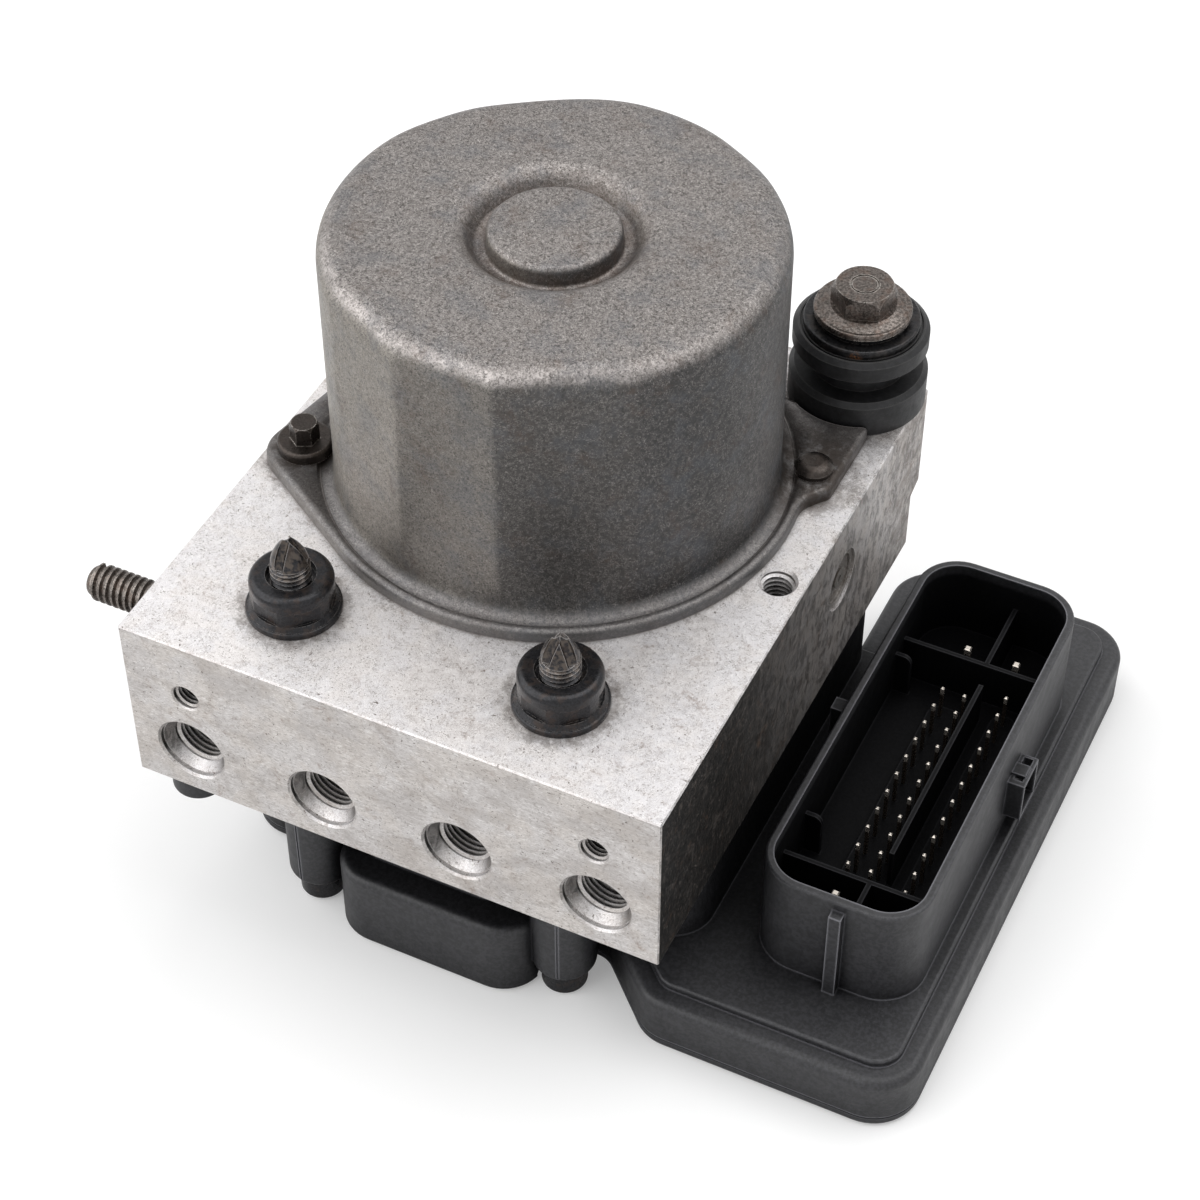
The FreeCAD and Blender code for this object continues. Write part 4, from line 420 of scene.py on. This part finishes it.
def makeFinishes():
    # each steel's edge wear tone is also a painted highlight
    steels = {
        "dark_steel": {
            "base": tone(50, 50, 53), "dark": tone(36, 36, 38), "stain": tone(80, 64, 54),
            "stainShare": 0.35, "edgeWearSheen": tone(164, 160, 158), "edgeWearSheenWidth": 0.24, "edgeWearSheenShare": 0.85,
            "grain": 0.4, "roughness": (0.22, 0.34), "metal": 0.6, "bumpDepth": 0.015,
            "polished": (81.6, 0.6, tone(88, 80, 74)),
        },
        "bolt_steel": {
            "base": tone(130, 122, 117), "dark": tone(72, 67, 63), "stain": tone(104, 78, 62),
            "stainShare": 0.3, "edgeWearSheen": tone(224, 218, 211), "edgeWearSheenWidth": 0.45, "edgeWearSheenShare": 0.85,
            "grain": 0.45, "roughness": (0.24, 0.4), "metal": 0.88, "bumpDepth": 0.03,
            "shaded": tone(56, 51, 48),
        },
        "worn_zinc": {
            "base": tone(56, 56, 58), "dark": tone(38, 38, 39), "stain": tone(84, 70, 58),
            "stainShare": 0.16, "edgeWearSheen": tone(158, 154, 150), "edgeWearSheenWidth": 0.35, "edgeWearSheenShare": 0.65,
            "grain": 0.6, "roughness": (0.26, 0.4), "metal": 0.75, "bumpDepth": 0.03,
            "rustSpot": (spot(90.9, 99.2, 51.6), tone(150, 104, 72)),
        },
        "plug_metal": {
            "base": tone(150, 146, 142), "dark": tone(118, 113, 109), "stain": tone(96, 86, 76),
            "stainShare": 0.6, "edgeWearSheen": tone(196, 192, 188), "edgeWearSheenWidth": 0.3, "edgeWearSheenShare": 0.7,
            "grain": 0.5, "roughness": (0.34, 0.48), "metal": 0.7, "bumpDepth": 0.015,
        },
        "hard_steel": {
            "base": tone(196, 196, 198), "dark": tone(176, 176, 178), "stain": tone(150, 146, 142),
            "stainShare": 0.3, "edgeWearSheen": tone(222, 222, 224), "edgeWearSheenWidth": 0.3, "edgeWearSheenShare": 0.6,
            "grain": 0.4, "roughness": (0.2, 0.32), "metal": 1.0, "bumpDepth": 0.006,
        },
        "bearing_steel": {
            "base": tone(208, 209, 212), "dark": tone(190, 191, 194), "stain": tone(160, 158, 150),
            "stainShare": 0.2, "edgeWearSheen": tone(230, 230, 232), "edgeWearSheenWidth": 0.3, "edgeWearSheenShare": 0.6,
            "grain": 0.5, "roughness": (0.14, 0.24), "metal": 1.0, "bumpDepth": 0.004,
        },
        "spring_steel": {
            "base": tone(176, 177, 180), "dark": tone(146, 147, 150), "stain": tone(120, 112, 100),
            "stainShare": 0.3, "edgeWearSheen": tone(205, 205, 207), "edgeWearSheenWidth": 0.15, "edgeWearSheenShare": 0.4,
            "grain": 0.3, "roughness": (0.24, 0.36), "metal": 1.0, "bumpDepth": 0.006,
        },
        "lamination_steel": {
            "base": tone(150, 151, 155), "dark": tone(120, 121, 125), "stain": tone(104, 96, 90),
            "stainShare": 0.3, "edgeWearSheen": tone(188, 188, 190), "edgeWearSheenWidth": 0.2, "edgeWearSheenShare": 0.5,
            "grain": 0.4, "roughness": (0.34, 0.5), "metal": 0.85, "bumpDepth": 0.02,
        },
        "copper": {
            "base": tone(184, 118, 78), "dark": tone(150, 88, 54), "stain": tone(110, 62, 40),
            "stainShare": 0.4, "edgeWearSheen": tone(226, 164, 122), "edgeWearSheenWidth": 0.25, "edgeWearSheenShare": 0.6,
            "grain": 0.5, "roughness": (0.24, 0.38), "metal": 0.9, "bumpDepth": 0.02,
        },
        "contact_metal": {
            "base": tone(96, 86, 78), "dark": tone(78, 69, 62), "stain": tone(66, 54, 46),
            "stainShare": 0.3, "edgeWearSheen": tone(150, 140, 130), "edgeWearSheenWidth": 0.1, "edgeWearSheenShare": 0.5,
            "grain": 0.25, "roughness": (0.22, 0.34), "metal": 0.8, "bumpDepth": 0.004,
            # painted highlight on the pin ends
            "tip": (26.3, tone(216, 208, 198)),
        },
    }
    # each plastic's edge tone is wear plus a painted highlight
    plastics = {
        "mount_rubber": {
            "base": tone(36, 36, 38), "dark": tone(26, 26, 27), "dust": tone(84, 80, 76),
            "dustShare": 0.35, "edge": tone(92, 91, 90), "edgeWidth": 0.35, "edgeShare": 0.5, "grain": 1.2,
            "gloss": 0.4, "roughness": (0.4, 0.56), "bumpSize": 0.5, "bumpDepth": 0.03,
        },
        "housing_plastic": {
            "base": tone(56, 56, 59), "dark": tone(42, 42, 44), "dust": tone(88, 88, 90), "dustShare": 0.3,
            "edge": tone(140, 140, 146), "edgeWidth": 0.55, "edgeShare": 0.75, "grain": 0.7, "gloss": 0.46,
            "roughness": (0.38, 0.5), "bumpSize": 0.26, "bumpDepth": 0.02,
            # painted shade inside the plug socket
            "inside": (57.7, 85.5, -39.6, 44.6, 34.6, 7.0, tone(14, 14, 15)), "shadeDepth": 26.0,
            "shade": tone(8, 8, 9),
        },
        "cover_plastic": {
            "base": tone(46, 46, 49), "dark": tone(37, 37, 39), "dust": tone(88, 88, 90),
            "dustShare": 0.25, "edge": tone(100, 100, 104), "edgeWidth": 0.4, "edgeShare": 0.4,
            "grain": 0.7, "gloss": 0.38, "roughness": (0.4, 0.5), "bumpSize": 0.26, "bumpDepth": 0.02,
        },
        "seal_rubber": {
            "base": tone(34, 34, 35), "dark": tone(26, 26, 27), "dust": tone(70, 68, 66), "dustShare": 0.2,
            "edge": tone(52, 52, 52), "edgeWidth": 0.2, "edgeShare": 0.3, "grain": 1.0,
            "roughness": (0.5, 0.62), "bumpSize": 0.4, "bumpDepth": 0.02,
        },
        "magnet": {
            "base": tone(74, 75, 79), "dark": tone(58, 59, 63), "dust": tone(120, 120, 122),
            "dustShare": 0.3, "edge": tone(104, 105, 108), "edgeWidth": 0.4, "edgeShare": 0.4,
            "grain": 1.0, "roughness": (0.46, 0.6), "bumpSize": 0.3, "bumpDepth": 0.03,
        },
        "carbon": {
            "base": tone(62, 62, 65), "dark": tone(50, 50, 53), "dust": tone(120, 120, 124),
            "dustShare": 0.3, "edge": tone(84, 84, 88), "edgeWidth": 0.3, "edgeShare": 0.3, "grain": 0.5,
            "roughness": (0.4, 0.55), "bumpSize": 0.2, "bumpDepth": 0.02,
        },
        "coil_plastic": {
            "base": tone(92, 76, 62), "dark": tone(74, 60, 48), "dust": tone(150, 132, 112),
            "dustShare": 0.2, "edge": tone(120, 100, 84), "edgeWidth": 0.3, "edgeShare": 0.3, "grain": 0.6,
            "roughness": (0.36, 0.5), "bumpSize": 0.35, "bumpDepth": 0.02,
        },
        "board": {
            "base": tone(40, 104, 70), "dark": tone(30, 86, 58), "dust": tone(140, 170, 140),
            "dustShare": 0.2, "edge": tone(150, 160, 120), "edgeWidth": 0.3, "edgeShare": 0.6,
            "grain": 2.4, "roughness": (0.24, 0.34), "bumpSize": 1.0, "bumpDepth": 0.03,
        },
        "chip_plastic": {
            "base": tone(50, 50, 52), "dark": tone(42, 42, 44), "dust": tone(110, 110, 112),
            "dustShare": 0.2, "edge": tone(76, 76, 78), "edgeWidth": 0.2, "edgeShare": 0.4, "grain": 0.4,
            "roughness": (0.42, 0.52), "bumpSize": 0.2, "bumpDepth": 0.01,
        },
        "capacitor_sleeve": {
            "base": tone(44, 46, 62), "dark": tone(36, 38, 52), "dust": tone(110, 112, 124),
            "dustShare": 0.15, "edge": tone(80, 84, 100), "edgeWidth": 0.3, "edgeShare": 0.4, "grain": 1.2,
            "roughness": (0.2, 0.3), "bumpSize": 0.6, "bumpDepth": 0.01,
        },
    }
    made = {"block_aluminium": blockFinish(), "can_steel": canFinish()}
    for slot, look in steels.items():
        made[slot] = steelFinish(slot.replace("_", "") + "Finish", look)
    for slot, look in plastics.items():
        made[slot] = plasticFinish(slot.replace("_", "") + "Finish", look)
    return made


finishes = makeFinishes()
nodeSlot = {part["node"]: part["material_slot"] for part in frame["record"]["subparts"]}
for nodeName, piece in frame["nodes"].items():
    piece.data.materials.clear()
    piece.data.materials.append(finishes[nodeSlot[nodeName]])
print("finishes on", len(frame["nodes"]), "frame nodes")


# mesh helpers

def turnedFrom(bm, points, steps, centre):  # spins an outline that starts and ends on the axis
    verts = [bm.verts.new(centre + Vector((radius * mm, 0, height * mm))) for radius, height in points]
    edges = [bm.edges.new(pair) for pair in zip(verts, verts[1:])]
    bmesh.ops.spin(bm, geom=verts + edges, cent=centre, axis=(0, 0, 1), angle=math.tau, steps=steps,
                   use_merge=True)
    bmesh.ops.remove_doubles(bm, verts=bm.verts, dist=1e-7)


def ringEdges(bm, centre, radius, height, slack=0.02):  # the loop of edges at a radius and height
    picked = []
    for edge in bm.edges:
        away = []
        for vert in edge.verts:
            end = vert.co - centre
            away.append(abs(end.z / mm - height))
            away.append(abs(math.hypot(end.x, end.y) / mm - radius))
        if max(away) < slack:
            picked.append(edge)
    return picked


def roundLoop(bm, centre, radius, height, offset, segments):
    rim = ringEdges(bm, centre, radius, height)
    bmesh.ops.bevel(bm, geom=rim, offset=offset * mm, offset_type="OFFSET", segments=segments, profile=0.5,
                    affect="EDGES", material=-1)


def windRidge(bm, start, along, base, crest, baseWidth, crestWidth, pitch, turns, steps):  # millimetres
    side = along.orthogonal().normalized()
    wide = baseWidth / 2
    narrow = crestWidth / 2
    corners = [(base, -wide), (crest, -narrow), (crest, narrow), (base, wide)]
    verts = [bm.verts.new(start + side * r * mm + along * h * mm) for r, h in corners]
    rim = [bm.edges.new((verts[i], verts[(i + 1) % 4])) for i in range(4)]
    count = round(turns * steps)
    bmesh.ops.spin(bm, geom=verts + rim, cent=start, axis=along, dvec=along * pitch * mm / steps,
                   angle=math.tau * turns, steps=count)
    ends = [e for e in bm.edges if e.is_boundary]
    bmesh.ops.holes_fill(bm, edges=ends, sides=4)


def place(bm, name, slot, body="unit", sharp=30):
    bmesh.ops.recalc_face_normals(bm, faces=bm.faces)
    mesh = bpy.data.meshes.new(name)
    bm.to_mesh(mesh)
    bm.free()
    mesh.polygons.foreach_set("use_smooth", [True] * len(mesh.polygons))
    mesh.set_sharp_from_angle(angle=math.radians(sharp))
    mesh.materials.append(finishes[slot])
    piece = bpy.data.objects.new(name, mesh)
    bpy.context.scene.collection.objects.link(piece)
    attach(piece, body)
    return piece


# motor housing: the flange comes from the frame and the can is spun over it

def makeMotorHousing():
    can = {
        "radius": 39.2, "height": 52.8, "wall": 2.2, "topRound": 4.2, "rootRound": 2.3,
        "step": 1.6,  # flange level inside its rim
        "foot": 2.2,  # reach of the frame's can past the radius, cut away
        "lap": 0.4, "rootFlat": 0.1, "innerRound": 2.4,
        "button": 11.3, "grooveFloor": 13.2, "grooveMouth": 15.8, "grooveDepth": 3.7,
        "buttonRound": 1.2, "grooveRound": 2.2, "footRound": 0.7,
        "pocket": 9.45, "steps": 360,
        "cuts": (6, 50, 4),  # heights of the rows of points that the facets bend
        "topFade": (3, 4), "footFade": (3, 5),  # where the facets die out
        "facets": ((-131, -104.5, 0.85, 0.1), (-104.5, -78.2, 0.9, 0.1), (-78.2, -43.8, 0.85, 0.1),
                   (-43.8, -27.4, 0.8, 0.3), (48, 74, 0.3, 1), (92, 156, 0.29, 1),
                   (135, 165, 0.45, 1)),  # from and to in degrees, flatness, softness
    }
    source = frame["nodes"]["motor_housing"]
    centre = Vector((0, 0, blockTop))
    bm = bmesh.new()
    bm.from_mesh(source.data)
    bmesh.ops.remove_doubles(bm, verts=bm.verts, dist=2e-6)
    footRadius = can["radius"] + can["foot"]
    gone = []
    for face in bm.faces:
        inside = all(math.hypot(v.co.x, v.co.y) < (footRadius + 0.15) * mm for v in face.verts)
        heights = [(v.co.z - blockTop) / mm for v in face.verts]
        if inside and (max(heights) > can["step"] + 0.1):
            gone.append(face)
    bmesh.ops.delete(bm, geom=gone, context="FACES")
    rims = [e for e in bm.edges if e.is_boundary]
    bmesh.ops.bridge_loops(bm, edges=rims)
    plate = bpy.data.meshes.new("plate")
    bm.to_mesh(plate)
    bm.free()

    bm = bmesh.new()
    high = can["height"]
    floor = high - can["grooveDepth"]
    ceiling = high - can["wall"]
    under = floor - can["wall"]
    low = can["step"] - can["lap"]
    rootRim = can["radius"] + can["rootRound"] + can["rootFlat"]
    profile = [
        (0, high), (can["button"], high), (can["button"], floor), (can["grooveFloor"], floor),
        (can["grooveMouth"], high), (can["radius"], high), (can["radius"], can["step"]),
        (rootRim, can["step"]), (rootRim, low),
        (can["radius"] - can["wall"], low), (can["radius"] - can["wall"], ceiling),
        (can["grooveMouth"] + can["wall"], ceiling), (can["grooveFloor"] + can["wall"], under),
        (can["pocket"], under), (can["pocket"], ceiling), (0, ceiling)]
    turnedFrom(bm, profile, can["steps"], centre)
    roundLoop(bm, centre, can["radius"], high, can["topRound"], 9)
    roundLoop(bm, centre, can["radius"], can["step"], can["rootRound"], 6)
    roundLoop(bm, centre, can["button"], high, can["buttonRound"], 5)
    roundLoop(bm, centre, can["grooveMouth"], high, can["grooveRound"], 6)
    roundLoop(bm, centre, can["button"], floor, can["footRound"], 4)
    roundLoop(bm, centre, can["grooveFloor"], floor, can["footRound"], 4)
    roundLoop(bm, centre, can["radius"] - can["wall"], ceiling, can["innerRound"], 5)
    for level in range(*can["cuts"]):
        bmesh.ops.bisect_plane(bm, geom=bm.verts[:] + bm.edges[:] + bm.faces[:],
                               plane_co=centre + Vector((0, 0, level * mm)), plane_no=(0, 0, 1))
    flattenSides(bm, centre, can)
    bm.from_mesh(plate)
    bpy.data.meshes.remove(plate)
    housing = place(bm, "motorHousing", "can_steel", sharp=40)
    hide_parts("motor_housing")


def flattenSides(bm, centre, can):  # soft upright facets left by the drawing press
    topMargin, rimMargin = can["topFade"]
    footStart, footRun = can["footFade"]
    still = can["grooveMouth"] + topMargin
    full = can["radius"] - rimMargin
    for vert in bm.verts:
        offset = vert.co - centre
        radius = math.hypot(offset.x, offset.y) / mm
        height = offset.z / mm
        if radius < still or height < can["step"] + 0.2:
            continue
        angle = math.degrees(math.atan2(offset.y, offset.x))
        inward = 0
        for start, end, flatness, softness in can["facets"]:
            if start < angle < end:
                half = math.radians(end - start) / 2
                off = math.radians(angle - start) - half
                dip = (1 - math.cos(half)) * (1 + math.cos(math.pi * off / half)) / 2
                inward += flatness * ((1 - softness) * (1 - math.cos(half) / math.cos(off)) + softness * dip)
        share = min(1, (radius - still) / (full - still)) * min(1, max(0, (height - footStart) / footRun))
        vert.co.x = centre.x + offset.x * (1 - inward * share)
        vert.co.y = centre.y + offset.y * (1 - inward * share)


makeMotorHousing()
print("motor housing")


# threads

def makeThreads():
    port = {"radius": 5.0, "crest": 4.42, "base": 0.88, "flat": 0.14, "pitch": 1.0, "turns": 10.2,
            "from": 3.2, "bite": 0.08, "apart": 25.7, "height": 10.0, "steps": 40}
    bracket = {"radius": 2.5, "crest": 2.12, "base": 0.66, "flat": 0.1, "pitch": 0.8, "turns": 9,
               "from": 0.8, "bite": 0.05, "places": ((11.8, "Left"), (88.2, "Right")), "height": 23.3,
               "steps": 32}
    topHole = {"radius": 3.0, "crest": 2.52, "base": 0.82, "flat": 0.12, "pitch": 1.0, "turns": 9,
               "from": 1.1, "bite": 0.05, "place": (95.0, 57.5, 35.6), "steps": 32}
    inward = Vector((0, 1, 0))
    for i in range(4):
        bm = bmesh.new()
        start = spot(50 + (i - 1.5) * port["apart"], port["from"], port["height"])
        windRidge(bm, start, inward, port["radius"] + port["bite"], port["crest"], port["base"], port["flat"],
                  port["pitch"], port["turns"], port["steps"])
        place(bm, "portThread%d" % (i + 1), "block_aluminium")
    for x, name in bracket["places"]:
        bm = bmesh.new()
        windRidge(bm, spot(x, bracket["from"], bracket["height"]), inward,
                  bracket["radius"] + bracket["bite"], bracket["crest"], bracket["base"], bracket["flat"],
                  bracket["pitch"], bracket["turns"], bracket["steps"])
        place(bm, "bracketThread" + name, "block_aluminium")
    bm = bmesh.new()
    x, y, top = topHole["place"]
    windRidge(bm, spot(x, y, top - topHole["from"]), Vector((0, 0, -1)),
              topHole["radius"] + topHole["bite"], topHole["crest"], topHole["base"], topHole["flat"],
              topHole["pitch"], topHole["turns"], topHole["steps"])
    place(bm, "topHoleThread", "block_aluminium")


def makeStud():
    stud = {"place": (0, 20.0, 20.0), "core": 2.85, "crest": 3.45, "reach": 20.0, "inside": 12.0,
            "rootRadius": 3.15, "pitch": 1.35, "base": 1.3, "flat": 0.34, "tipRound": 1.1, "steps": 48,
            "coreLap": 0.5, "rootLap": 0.4, "ridgeFrom": 0.3, "ridgeSunk": 0.1, "runOut": 0.7}
    out = Vector((-1, 0, 0))
    face = spot(*stud["place"])
    bm = bmesh.new()
    for radius, start, length in ((stud["core"], -stud["coreLap"], stud["reach"] + stud["coreLap"]),
                                  (stud["rootRadius"], -stud["inside"], stud["inside"] + stud["rootLap"])):
        middle = face + out * (start + length / 2) * mm
        grid = Matrix.Translation(middle) @ Matrix.Rotation(math.pi / 2, 4, "Y")
        made = bmesh.ops.create_cone(bm, cap_ends=True, cap_tris=False, segments=stud["steps"],
                                     radius1=radius * mm, radius2=radius * mm, depth=length * mm, matrix=grid)
        if radius == stud["core"]:
            tip = [e for v in made["verts"] for e in v.link_edges
                   if all((w.co - face).dot(out) > (stud["reach"] - 0.1) * mm for w in e.verts)]
            bmesh.ops.bevel(bm, geom=list(dict.fromkeys(tip)), offset=stud["tipRound"] * mm, segments=4,
                            profile=0.5, affect="EDGES", material=-1)
    turns = (stud["reach"] - stud["tipRound"] - stud["runOut"]) / stud["pitch"]
    windRidge(bm, face + out * stud["ridgeFrom"] * mm, out, stud["core"] - stud["ridgeSunk"], stud["crest"],
              stud["base"], stud["flat"], stud["pitch"], turns, stud["steps"])
    piece = place(bm, "sideStudThreaded", "bolt_steel", sharp=50)
    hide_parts("side_stud")


def makeScrewNecks():
    neck = {"core": 2.9, "crest": 3.45, "pitch": 1.0, "base": 0.9, "flat": 0.16, "rise": 6.2, "turns": 4.0,
            "steps": 48}
    for point, name in zip(nutPlaces, ("Left", "Right")):
        bm = bmesh.new()
        windRidge(bm, point + Vector((0, 0, neck["rise"] * mm)), Vector((0, 0, 1)), neck["core"],
                  neck["crest"], neck["base"], neck["flat"], neck["pitch"], neck["turns"], neck["steps"])
        place(bm, "screwThread" + name, "dark_steel", sharp=50)


makeThreads()
makeStud()
makeScrewNecks()
print("threads")


# floor, light and camera

def makeStage():
    stage = {"floor": 4.0, "below": 0.2, "floorTone": 0.8, "floorRough": 0.9, "floorShine": 0.1, "world": 0.5,
             "mirrored": 0.85, "floorLift": 0.24,
             "key": (1.15, (18, 16), 55), "fill": (1.9, (-22, -44), 80)}
    bm = bmesh.new()
    bmesh.ops.create_grid(bm, x_segments=1, y_segments=1, size=stage["floor"] / 2)
    mesh = bpy.data.meshes.new("floor")
    bm.to_mesh(mesh)
    bm.free()
    floor = bpy.data.objects.new("floor", mesh)
    floor.location.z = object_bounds()[0][2] - stage["below"] * mm
    bpy.context.scene.collection.objects.link(floor)
    paint = bpy.data.materials.new("floorPaint")
    paint.use_nodes = True
    shader = paint.node_tree.nodes["Principled BSDF"]
    shader.inputs["Base Color"].default_value = (stage["floorTone"],) * 3 + (1,)
    shader.inputs["Roughness"].default_value = stage["floorRough"]
    shader.inputs["Specular IOR Level"].default_value = stage["floorShine"]
    shader.inputs["Emission Color"].default_value = (1, 1, 1, 1)
    direct = paint.node_tree.nodes.new("ShaderNodeLightPath")
    lift = paint.node_tree.nodes.new("ShaderNodeMath")
    lift.operation = "MULTIPLY"
    lift.inputs[1].default_value = stage["floorLift"]
    paint.node_tree.links.new(direct.outputs["Is Camera Ray"], lift.inputs[0])
    paint.node_tree.links.new(lift.outputs[0], shader.inputs["Emission Strength"])
    mesh.materials.append(paint)

    world = bpy.data.worlds.new("studio")
    bpy.context.scene.world = world
    world.use_nodes = True
    tree = world.node_tree
    tree.nodes.clear()
    ray = tree.nodes.new("ShaderNodeLightPath")
    seen = tree.nodes.new("ShaderNodeMath")
    seen.operation = "MAXIMUM"
    tree.links.new(ray.outputs["Is Camera Ray"], seen.inputs[0])
    tree.links.new(ray.outputs["Is Transmission Ray"], seen.inputs[1])
    mirrored = tree.nodes.new("ShaderNodeMapRange")
    tree.links.new(ray.outputs["Is Glossy Ray"], mirrored.inputs["Value"])
    mirrored.inputs["To Min"].default_value = stage["world"]
    mirrored.inputs["To Max"].default_value = stage["mirrored"]
    level = tree.nodes.new("ShaderNodeMapRange")
    tree.links.new(seen.outputs[0], level.inputs["Value"])
    tree.links.new(mirrored.outputs["Result"], level.inputs["To Min"])
    level.inputs["To Max"].default_value = 1.0
    back = tree.nodes.new("ShaderNodeBackground")
    tree.links.new(level.outputs["Result"], back.inputs["Strength"])
    back.inputs["Color"].default_value = (1, 1, 1, 1)
    end = tree.nodes.new("ShaderNodeOutputWorld")
    tree.links.new(back.outputs[0], end.inputs["Surface"])

    for name in ("key", "fill"):
        strength, (tiltX, tiltY), softness = stage[name]
        lamp = bpy.data.lights.new(name, "SUN")
        lamp.energy = strength
        lamp.angle = math.radians(softness)
        holder = bpy.data.objects.new(name, lamp)
        holder.rotation_euler = (math.radians(-tiltX), math.radians(tiltY), 0)
        bpy.context.scene.collection.objects.link(holder)


def makeCamera():
    view = {"place": (0.16823, -0.33113, 0.41682), "turn": (44.54, 0, 25.79), "lens": 85.98, "sensor": 36.0}
    camera = bpy.data.cameras.new("camera")
    camera.lens = view["lens"]
    camera.sensor_width = view["sensor"]
    camera.clip_start = 0.01
    holder = bpy.data.objects.new("camera", camera)
    holder.location = view["place"]
    holder.rotation_euler = [math.radians(a) for a in view["turn"]]
    bpy.context.scene.collection.objects.link(holder)
    bpy.context.scene.camera = holder


makeStage()
makeCamera()
bpy.context.scene.view_settings.view_transform = "Standard"
print("stage and camera")
